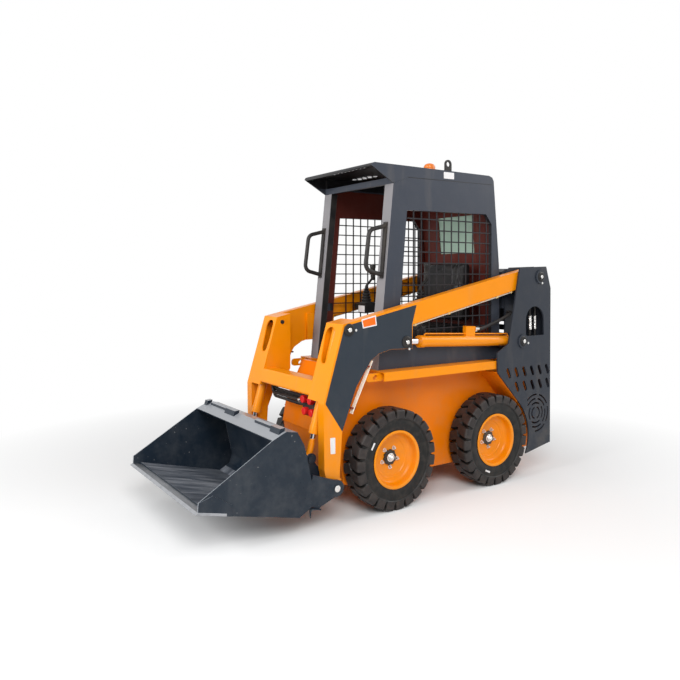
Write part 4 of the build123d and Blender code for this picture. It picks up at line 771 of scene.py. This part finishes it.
class LOADER_OT_arm_panels(bpy.types.Operator):
    """Set a plain dark panel and the blank plates on each arm"""

    bl_idname = "loader.arm_panels"
    bl_label = "Arm Panels"

    def execute(self, context):
        rise = context.scene.loader_sizes.panel_rise
        panel = plate(rounded(side(*PANEL_OUTLINE), 0.004, 3), ARM_FACE - 0.001, ARM_FACE + rise, 0.0003)
        border = plate(rounded(side((-247, 1087), (-148, 1107), (-140, 1050), (-236, 1037)), 0.003, 4),
                       ARM_FACE, ARM_FACE + rise + 0.0008)
        field = plate(rounded(side((-240, 1081), (-154, 1099), (-148, 1056), (-231, 1044)), 0.002, 3),
                      ARM_FACE, ARM_FACE + rise + 0.0013)
        low = plate(rounded(side((-450, 468), (-418, 466), (-417, 380), (-447, 382)), 0.003, 4),
                    ARM_FACE - 0.001, ARM_FACE + 0.0010)
        for name, finish, slot, shape in (
                ("arm_panels", "panel", "slate_paint", panel),
                ("plate_borders", "plate_white", None, border),
                ("plate_fields", "plate_orange", None, field), ("leg_plates", "plate_white", None, low)):
            both_sides(name, "lift_arms", finish, shape, slot=slot)
        return {"FINISHED"}


class LOADER_OT_pins(bpy.types.Operator):
    """Finish the pivots with black discs, bright pin ends and keeper bolts"""

    bl_idname = "loader.pins"
    bl_label = "Pins and Bolts"
    # The body, its outer plane, the pin's place on it and the keeper bolt's place from the pin.
    pivots = [
        ("lift_arms", 0.4487, (-330, 1034), (46, -4)), ("lift_arms", 0.4487, (76, 946), (18, -40)),
        ("root", 0.4707, (1221, 1319), (14, -42)), ("root", 0.4707, (1049, 899), (46, -14))]

    def execute(self, context):
        """Turned discs and pin ends, and bolts with six-sided heads."""
        sizes = context.scene.loader_sizes
        pin, disc = sizes.pin, sizes.pin_disc
        bolt = np.array([(0.2, -4), (7.5, -4), (7.5, 4), (6.5, 5.2), (0.2, 5.4)]) / 1000.0
        cap = [(0.0002, -0.002), (disc, -0.002), (disc, 0.0005), (disc - 0.004, 0.003),
               (pin + 0.008, 0.0036), (pin + 0.005, 0.001), (0.0002, 0.001)]
        end = [(0.0002, 0.0), (pin, 0.0), (pin, 0.0085), (pin - 0.002, 0.0102), (0.0002, 0.0105)]
        for body in ("lift_arms", "root"):
            discs, ends = [], []
            for rides, face, at, keeper in self.pivots:
                if rides == body:
                    middle = spot(1000 * face, *at)
                    discs.append(turned(cap, middle))
                    ends.append(turned(end, middle))
                    plane = (ARM_FACE if rides == "lift_arms" else face - 0.004)
                    ends.append(turned(bolt, spot(1000 * plane, at[0] + keeper[0], at[1] + keeper[1]),
                                       count=36, waves=hexagon))
            if body == "lift_arms":
                foot = [(0.0002, 0.0), (0.0175, 0.0), (0.0175, 0.001), (0.0155, 0.0022), (0.0002, 0.0025)]
                ends.append(turned(foot, spot(477, -425, 204)))
            both_sides("pin_discs_" + body, body, "black", *discs, slot="black_plastic")
            both_sides("pin_ends_" + body, body, "zinc", *ends, slot="bare_steel")
        return {"FINISHED"}


class LOADER_OT_arm_lines(bpy.types.Operator):
    """Run the bright hard lines along each arm, with their clamps"""

    bl_idname = "loader.arm_lines"
    bl_label = "Arm Lines"

    def execute(self, context):
        """Straight round tubes, and clamps as flat pieces across them."""
        lines, clamps = [], []
        for x in (439, 429, 419):
            bend = [spot(x, *p) for p in ((-166, 856), (-175, 838), (-298, 594), (-303, 578))]
            lines.append(tube(rounded(bend, 0.02, 6, closed=False), 0.0034))
        for y, z in ((-180, 828), (-290, 610)):
            across = side((y - 24, z - 5), (y + 9, z - 11), (y + 13, z - 2), (y - 20, z + 6))
            clamps.append(plate(across, 0.4125, 0.4405, 0.002))
        under = lambda y: np.interp(y, (122, 1034), (1045, 1241))     # height of the beam's underside
        lines.append(tube([spot(427, y, under(y) - 9) for y in np.linspace(136, 990, 12)], 0.0052))
        holders = []
        for y in (150, 420, 840, 978):
            z = under(y)
            holders.append(plate(side((y - 8, z - 2), (y + 8, z + 1), (y + 8, z - 15), (y - 8, z - 18)),
                                 0.418, 0.437, 0.002))
        for name, finish, slot, shapes in (
                ("arm_hard_lines", "line", "bare_steel", lines),
                ("leg_line_clamps", "rust", None, clamps),
                ("beam_line_holders", "brass", None, holders)):
            both_sides(name, "lift_arms", finish, *shapes, slot=slot, replaces=["arm_lines"])
        return {"FINISHED"}


class LOADER_OT_couplers(bpy.types.Operator):
    """Put ribbed red caps and bright collars on the arm's couplers"""

    bl_idname = "loader.couplers"
    bl_label = "Couplers"
    places = [(150, 628), (222, 628), (164, 562), (236, 562)]
    cap = [(0.2, -25), (18.5, -26), (21, -24.5), (22, -21), (22, 4), (20.5, 7), (17, 8), (0.2, 8)]
    collar = [(12.2, 7), (15.5, 7), (16.2, 9), (16.2, 16), (15.5, 18), (12.2, 18)]

    def execute(self, context):
        """Turned about the fore-and-aft axis; a cap's radius dips sixteen times round for its grip."""
        grip = lambda a: 1.0 - 0.05 * (np.sin(16 * a) > 0.2)
        y = -421
        caps = [turned(np.array(self.cap) / 1000.0, spot(x, y, z), (0, 1, 0), 96, waves=grip)
                for x, z in self.places]
        collars = [turned(np.array(self.collar) / 1000.0, spot(x, y, z), (0, 1, 0), 40, loop=True)
                   for x, z in self.places]
        piece("coupler_dust_caps", "lift_arms", "red", *caps, replaces=["coupler_caps"],
              slot="red_plastic", crease=25.0)
        piece("coupler_collars", "lift_arms", "zinc", *collars, slot="bare_steel")
        feeds = []
        for drop, back in ((0.0, 22.0), (24.0, 4.0), (-20.0, 14.0)):
            path = [spot(*p) for p in ((-262, -400 + back, 664), (-262, -400 + back, 606 - drop),
                                       (60, -400 + back, 606 - drop), (118, -404, 606 - drop / 2))]
            feeds.append(tube(rounded(path, 0.03, 9, closed=False), 0.0095))
        nut = [(0.2, 0), (13, 0), (13.5, 1), (13.5, 16), (10.5, 18), (10.5, 40), (0.2, 40)]
        ends = [turned(np.array(nut) / 1000.0, spot(x, -404, 606), (1, 0, 0), 36) for x in (52, 92)]
        piece("coupler_hoses", "lift_arms", "hose", *feeds, slot="black_rubber")
        piece("coupler_hose_ends", "lift_arms", "zinc", *ends, slot="bare_steel")
        return {"FINISHED"}


class LOADER_OT_hoses(bpy.types.Operator):
    """Lay the lift cylinders' hoses and the pair in each tower's window"""

    bl_idname = "loader.hoses"
    bl_label = "Hoses"

    def execute(self, context):
        """A hose is a round tube along a path with rounded corners; a fitting is turned about its
        own stretch of that path."""
        radius = context.scene.loader_sizes.hose
        base, eye = side((1049, 899), (76, 946))
        ahead = np.array([0.0, *(eye - base)]) / np.linalg.norm(eye - base)
        rise = np.cross(ahead, [1.0, 0.0, 0.0])
        nut = [(0.0002, 0.0), (0.0125, 0.0), (0.013, 0.001), (0.013, 0.013), (0.0105, 0.015),
               (0.0105, 0.034), (0.0095, 0.035), (0.0002, 0.035)]
        for sign, name in ((1.0, "left"), (-1.0, "right")):
            runs, nuts, body = [], [], "lift_barrel_" + name
            for x, up, high in ((0.396, 0.066, 0.0), (0.414, 0.078, 0.016)):
                pivot = np.array([sign * x, *base])
                port = pivot + rise * up + ahead * 0.398
                tower = np.array([sign * x, *side((1012, 1072 + 1000 * high))[0]])
                path = [port, port - ahead * 0.06, tower + (port - tower) * 0.35 - [0, 0, 0.012],
                        tower, tower * [0.0, 1.0, 1.0] + [sign * 0.36, 0.0, 0.0]]
                runs.append(tube(rounded(path, 0.045, 9, closed=False), radius))
                nuts.append(turned(nut, port, -ahead, 36, waves=hexagon))
            hose = piece("lift_hose_" + name, None, "hose", *runs, replaces=["lift_hoses"],
                         slot="black_rubber")
            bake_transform(hose)
            piece("lift_hose_nuts_" + name, body, "zinc", *nuts, slot="bare_steel")
        runs, sleeves = [], []
        ribs = np.linspace(0.0, 0.092, 40)
        for y in (1188, 1238):
            path = [spot(*p) for p in ((362, y, 835), (405, y, 835), (405, y, 1190), (362, y, 1190))]
            runs.append(tube(rounded(path, 0.03, 9, closed=False), radius))
            sleeve = np.column_stack([0.0125 + 0.0012 * np.sin(ribs * 2 * math.pi / 0.009), ribs])
            sleeve = np.vstack([[(0.0002, 0.0)], sleeve, [(0.0002, 0.092)]])
            sleeves.append(turned(sleeve, spot(405, y, 965), (0, 0, 1), 32))
        both_sides("tower_hoses", "root", "hose", *runs, replaces=["lift_hoses"], slot="black_rubber")
        both_sides("tower_hose_sleeves", "root", "zinc", *sleeves, slot="bare_steel")
        return {"FINISHED"}


# ---- cab -------------------------------------------------------------------------
class LOADER_OT_levers(bpy.types.Operator):
    """Fit the control levers with their bellows and grips"""

    bl_idname = "loader.levers"
    bl_label = "Levers"

    def execute(self, context):
        """Turned about an upright axis; the bellows' radius shrinks upward and swells five times."""
        rise = np.linspace(0.0, 0.095, 61)
        folds = (0.5 + 0.5 * np.cos(2 * math.pi * rise / 0.019)) ** 0.7
        boot = np.column_stack([0.040 - 0.22 * rise - 0.007 * (1.0 - folds), rise])
        boot = np.vstack([[(0.0002, 0.0)], boot, [(0.0002, 0.095)]])
        grip = np.array([
            (0.2, 152), (11, 152), (13, 158), (15, 175), (15.5, 192), (14, 206), (16.5, 224), (20, 240),
            (21, 252), (18, 259), (12, 260), (0.2, 260)]) / 1000.0
        button = np.array([(0.2, 258), (11, 258), (11, 262), (9.5, 264), (0.2, 264)]) / 1000.0
        # The levers and the consoles' front ends are 0.3 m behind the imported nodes' own.
        foot, lean = spot(276, 328, 1142), np.array([0.0, 0.055, 0.0])
        up = (0, 0, 1)
        bend = [foot + [0, 0, 0.08], foot + [0, -0.006, 0.11], foot + lean * 0.5 + [0, 0, 0.14],
                foot + lean + [0, 0, 0.17]]
        box = plate(rounded(side((278, 1070), (520, 1090), (520, 1140), (278, 1142)), 0.004, 4),
                    0.222, 0.304, 0.003)
        rail = plate(side((283, 1096), (515, 1096), (515, 1134), (283, 1134)), 0.300, 0.3565, 0.002)
        black = [turned(boot, foot, up), tube(rounded(bend, 0.02, 6, closed=False), 0.008),
                 turned(grip, foot + lean, up, 40)]
        both_sides("consoles", "root", "black", box, rail, replaces=["arm_consoles"],
                   slot="black_plastic")
        both_sides("lever_grips", "root", "black", *black, replaces=["control_levers"],
                   slot="black_plastic")
        both_sides("lever_buttons", "root", "plate_white", turned(button, foot + lean, up, 32))
        tag = plate(side((276.6, 1078), (278.4, 1078), (278.4, 1122), (276.6, 1122)), 0.228, 0.298)
        both_sides("console_plates", "root", "plate_white", tag)
        return {"FINISHED"}


class LOADER_OT_seat(bpy.types.Operator):
    """Upholster the seat's cushion and back"""

    bl_idname = "loader.seat"
    bl_label = "Seat"

    voxel, inward, most_move = 0.009, 0.006, 0.014
    seam_place, seam_width, seam_depth = 0.62, 0.03, 0.006

    def execute(self, context):
        for node, fill in (("seat_cushion", 0.7), ("seat_back", 0.65)):
            self.stuffed(context, node, fill)
        return {"FINISHED"}

    def stuffed(self, context, node, fill):
        """The node's shape drawn in a little, blown up as cloth and held near its start, with a
        seam along each side: a groove whose depth falls off as a bell curve."""
        pad = bpy.data.objects.new(node + "_pad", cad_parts[node].data.copy())
        context.scene.collection.objects.link(pad)
        shape = bmesh.new()
        shape.from_mesh(pad.data)
        bmesh.ops.remove_doubles(shape, verts=shape.verts, dist=1e-5)
        shape.to_mesh(pad.data)
        shape.free()
        remesh = pad.modifiers.new("remesh", "REMESH")
        remesh.mode, remesh.voxel_size = "VOXEL", self.voxel
        self.taken(context, pad)
        start = self.points(pad)
        low, high = start.min(0), start.max(0)
        middle, half = (low + high) / 2, (high - low) / 2
        place = (start - middle) / half
        from_seam = (np.abs(place[:, 0]) - self.seam_place) / self.seam_width
        seam = np.exp(-from_seam**2) * self.seam_depth
        start = middle + (start - middle) * (1.0 - self.inward / half)
        self.points(pad, start)
        cloth = pad.modifiers.new("cloth", "CLOTH")
        cloth.settings.use_pressure = True
        cloth.settings.uniform_pressure_force = 4.0
        cloth.settings.effector_weights.gravity = 0.0
        for step in range(1, 21):
            context.scene.frame_set(step)
        self.taken(context, pad)
        context.scene.frame_set(1)
        move = self.points(pad) - start
        length = np.linalg.norm(move, axis=1)[:, None]
        start = start + move * np.minimum(1.0, self.most_move / np.maximum(length, 1e-9))
        facing = np.zeros(len(start) * 3)
        pad.data.vertices.foreach_get("normal", facing)
        start = start - facing.reshape(-1, 3) * seam[:, None]
        self.points(pad, np.clip(start, low, high))
        pad.data.shade_smooth()
        smooth = pad.modifiers.new("smooth", "SUBSURF")
        smooth.levels = smooth.render_levels = 1
        dress(pad, "vinyl")
        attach(pad, "root")
        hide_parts(node)

    def taken(self, context, pad):
        """Takes the modifiers' result as the mesh."""
        graph = context.evaluated_depsgraph_get()
        mesh = bpy.data.meshes.new_from_object(pad.evaluated_get(graph))
        pad.modifiers.clear()
        pad.data = mesh

    def points(self, pad, values=None):
        """Reads the mesh's points, or sets them."""
        if values is not None:
            pad.data.vertices.foreach_set("co", np.ravel(values))
            pad.data.update()
        found = np.zeros(len(pad.data.vertices) * 3)
        pad.data.vertices.foreach_get("co", found)
        return found.reshape(-1, 3)


# Rows of pale marks under the visor: y, the first mark's x, the pitch and the count; then their
# turn. They stand for light through the roof's slots, but don't lie over those slots.
VISOR_SLOTS = [(-52, -120, 39, 9), (196, -235, 55, 4), (222, -208, 55, 4)]
SLOT_TURN = 35.0


class LOADER_OT_roof_parts(bpy.types.Operator):
    """Fit the beacon, lifting rings, door posts and the roof's trim"""

    bl_idname = "loader.roof_parts"
    bl_label = "Roof and Posts"

    def execute(self, context):
        """Turned about an upright axis; the lens swells in fine ribs."""
        low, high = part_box("beacon")
        foot = np.array([(low.x + high.x) / 2, (low.y + high.y) / 2, low.z])
        tall, wide = high.z - low.z, (high.x - low.x) / 2
        base = [(0.0002, 0.0), (wide, 0.0), (wide, 0.012), (wide - 0.002, 0.018), (0.0002, 0.018)]
        t = np.linspace(0.0, 1.0, 41)
        lens = np.column_stack([
            (wide - 0.003) * (1.0 - t**6) ** 0.5 + 0.0002 + 0.0006 * np.sin(t * 60.0) * (t < 0.9),
            0.018 + t * (tall - 0.018)])
        lens = np.vstack([[(0.0002, 0.016)], lens])
        piece("beacon_lens", "root", "amber", turned(lens, foot, (0, 0, 1), 64), replaces=["beacon"],
              slot="amber_lens")
        piece("beacon_base", "root", "black", turned(base, foot, (0, 0, 1)), slot="black_plastic")
        tag = plate(rounded(side((440, 1922), (526, 1923), (526, 1963), (440, 1962)), 0.002, 3),
                    0.362, 0.3628)
        both_sides("roof_plates", "root", "plate_white", tag)
        self.eyes()
        self.trim()
        return {"FINISHED"}

    def eyes(self):
        """A ring on a short foot: the outline is an arch, half a circle over a straight part, and
        the hole's rim is joined to it point by point through both faces."""
        low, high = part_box("lifting_eyes")
        foot, thick = np.array([(low.y + high.y) / 2, low.z]), 0.010
        turn = np.linspace(-math.pi / 2, 1.5 * math.pi, 64, endpoint=False)
        unit = np.stack([np.cos(turn), np.sin(turn)], -1)
        middle = foot + [0.0, 0.047]
        outer = middle + unit * 0.027
        below = np.sin(turn) < 0
        outer[below, 1] = np.maximum(middle[1] - 0.047, middle[1] + np.sin(turn[below]) * 0.06)
        outer[below, 0] = foot[0] + np.clip(np.cos(turn[below]) * 0.05, -0.027, 0.027)
        hole = middle + unit * 0.0155
        x = high.x - thick
        rings = [(x, hole), (x, outer), (x + thick, outer), (x + thick, hole)]
        eye = skin(np.stack([np.column_stack([np.full(64, at), ring]) for at, ring in rings]), loop=True)
        both_sides("lifting_rings", "root", "dark", eye, replaces=["lifting_eyes"], slot="dark_steel")

    def trim(self):
        """Flat strips: the door posts' faces, light grey as a painted highlight, the seam under the
        roof's edge and the glowing marks of painted light under the visor, which are ellipses."""
        foot, top = side((-65, 786), (45, 1862))
        # The strips over the door posts' front faces carry a painted highlight.
        post_highlight = plate([foot - [0.0012, 0], top - [0.0012, 0], top + [0.046, 0], foot + [0.046, 0]],
                     0.282, 0.3612, 0.003)
        both_sides("door_posts", "root", "post_highlight", post_highlight, slot="slate_paint")
        lining = plate([foot + [0.002, 0], top + [0.002, 0], top + [0.045, 0], foot + [0.045, 0]],
                       0.2812, 0.2822, 0.0003)
        both_sides("door_post_linings", "root", "black", lining)
        seam = plate(side((150, 1903.5), (872, 1914), (872, 1917), (150, 1907)), 0.3615, 0.3625, 0.0003)
        both_sides("roof_seams", "root", "black", seam)
        # Glowing marks of painted light under the visor.
        slot_glows = []
        turn = math.radians(SLOT_TURN)
        long = np.array([math.cos(turn), math.sin(turn), 0.0])
        wide = np.array([-math.sin(turn), math.cos(turn), 0.0])
        angle = np.linspace(0.0, 2 * math.pi, 24, endpoint=False)[:, None]
        ring = np.cos(angle) * long * 0.0145 + np.sin(angle) * wide * 0.006
        for y, first, pitch, count in VISOR_SLOTS:
            for x in first + pitch * np.arange(count):
                middle = spot(x, y, 1962.6)
                slot_glows.append(skin(np.stack([middle + ring, middle + ring + [0, 0, 0.0015]])))
        piece("visor_slot_painted_light", "root", "slot_light", *slot_glows)


# ---- finishing and stage ---------------------------------------------------------
class LOADER_OT_paint(bpy.types.Operator):
    """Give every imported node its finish"""

    bl_idname = "loader.paint"
    bl_label = "Paint the Nodes"

    def execute(self, context):
        for name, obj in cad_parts.items():
            dress(obj, finish_of(name))
        return {"FINISHED"}


class LOADER_OT_stage(bpy.types.Operator):
    """Set the floor, the lights and the camera"""

    bl_idname = "loader.stage"
    bl_label = "Stage"

    def execute(self, context):
        self.floor()
        self.sky(context.scene)
        self.lamps(context.scene)
        self.camera(context.scene)
        context.scene.view_settings.view_transform = "Standard"
        return {"FINISHED"}

    def floor(self):
        """Flat disc: radius and angle run over a grid of rings, closed at its middle."""
        rings, spokes = np.array([0.0, 4.0, 40.0]), 64
        turn = np.linspace(0.0, 2 * math.pi, spokes, endpoint=False)
        r, a = np.meshgrid(rings[1:], turn, indexing="ij")
        points = np.stack([r * np.cos(a), r * np.sin(a), np.zeros_like(r)], -1).reshape(-1, 3)
        points = np.vstack([points, [[0.0, 0.0, 0.0]]])
        j = np.arange(spokes)
        k = (j + 1) % spokes
        quads = np.stack([j, spokes + j, spokes + k, k], -1).tolist()
        fans = np.stack([np.full(spokes, len(points) - 1), j, k], -1).tolist()
        mesh = bpy.data.meshes.new("floor")
        mesh.from_pydata(points.tolist(), [], quads + fans)
        floor = bpy.data.objects.new("floor", mesh)
        bpy.context.scene.collection.objects.link(floor)
        f = Finish("pale_floor")
        x, y, z = f.axes(f.place())
        matt = f.node("ShaderNodeBsdfDiffuse", {}, {"Color": (0.86, 0.86, 0.86, 1.0)})
        white = f.node("ShaderNodeEmission", {}, {"Color": (1, 1, 1, 1), "Strength": 1.0})
        fade = ((x * x + y * y) ** 0.5).ramp(1.6, 3.2)
        mixed = f.node("ShaderNodeMixShader", {}, {0: f.shown_white() * fade, 1: matt, 2: white})
        f.node("ShaderNodeOutputMaterial", {}, {"Surface": mixed})
        floor.data.materials.append(f.material)

    def sky(self, scene):
        """White where it is seen, and a plain grey where it lights."""
        scene.world = scene.world or bpy.data.worlds.new("studio")
        f = Finish("studio", scene.world)
        light = f.node("ShaderNodeBackground", {}, {"Strength": 0.5})
        seen = f.node("ShaderNodeBackground", {}, {"Color": (1, 1, 1, 1)})
        both = f.node("ShaderNodeMixShader", {}, {0: f.shown_white(), 1: light, 2: seen})
        f.node("ShaderNodeOutputWorld", {}, {"Surface": both})

    def lamps(self, scene):
        """Three square area lamps, each with its place, aim, size and power."""
        for name, at, aim, size, watts in (
                ("key", (4.6, -2.6, 4.2), (0.0, 0.0, 0.9), 3.0, 248.0),
                ("fill", (0.2, -5.6, 2.8), (0.0, -0.2, 0.9), 2.6, 210.0),
                ("back", (2.2, 4.8, 3.8), (0.0, 0.4, 1.0), 2.6, 110.0)):
            lamp = bpy.data.lights.new(name, "AREA")
            lamp.size = size
            lamp.energy = watts
            obj = bpy.data.objects.new(name, lamp)
            scene.collection.objects.link(obj)
            obj.location = at
            obj.rotation_euler = (Vector(aim) - Vector(at)).to_track_quat("-Z", "Y").to_euler()

    def camera(self, scene):
        """The view's axes come from its heading, dip and roll."""
        stage = scene.loader_stage
        ahead = Vector((-math.sin(stage.heading) * math.cos(stage.dip),
                        math.cos(stage.heading) * math.cos(stage.dip), -math.sin(stage.dip)))
        level = Vector((math.cos(stage.heading), math.sin(stage.heading), 0.0))
        upward = level.cross(ahead)
        right = math.cos(stage.roll) * level + math.sin(stage.roll) * upward
        up = math.cos(stage.roll) * upward - math.sin(stage.roll) * level
        lens = bpy.data.cameras.new("camera")
        lens.sensor_width = 36.0
        lens.lens = stage.lens
        lens.shift_x = 0.00928
        lens.shift_y = -0.09087
        camera = bpy.data.objects.new("camera", lens)
        scene.collection.objects.link(camera)
        turn = Matrix((right, up, -ahead)).transposed().to_4x4()
        camera.matrix_world = Matrix.Translation(stage.place) @ turn
        scene.camera = camera


class LOADER_PT_panel(bpy.types.Panel):
    """The loader's settings and steps."""

    bl_label = "Loader"
    bl_idname = "LOADER_PT_panel"
    bl_space_type = "VIEW_3D"
    bl_region_type = "UI"
    bl_category = "Loader"

    def draw(self, context):
        column = self.layout.column()
        for group in (getattr(context.scene, name) for name in GROUPS):
            for name in group.bl_rna.properties.keys():
                if name not in ("name", "rna_type"):
                    column.prop(group, name)
        for operator in STEPS:
            column.operator(operator.bl_idname)


GROUPS = {"loader_paint": LoaderPaint, "loader_sizes": LoaderSizes, "loader_stage": LoaderStage}
STEPS = [
    LOADER_OT_stage, LOADER_OT_paint, LOADER_OT_tyres, LOADER_OT_rims, LOADER_OT_hubs,
    LOADER_OT_arm_panels, LOADER_OT_pins, LOADER_OT_arm_lines, LOADER_OT_couplers, LOADER_OT_hoses,
    LOADER_OT_levers, LOADER_OT_seat, LOADER_OT_roof_parts]
CLASSES = [*GROUPS.values(), *STEPS, LOADER_PT_panel]


def register():
    for cls in CLASSES:
        bpy.utils.register_class(cls)
    for name, group in GROUPS.items():
        setattr(bpy.types.Scene, name, bpy.props.PointerProperty(type=group))


def unregister():
    for name in GROUPS:
        delattr(bpy.types.Scene, name)
    for cls in reversed(CLASSES):
        bpy.utils.unregister_class(cls)


def main():
    """Registers the add-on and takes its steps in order."""
    register()
    for step in STEPS:
        group, name = step.bl_idname.split(".")
        getattr(getattr(bpy.ops, group), name)()


if __name__ == "__main__":
    main()
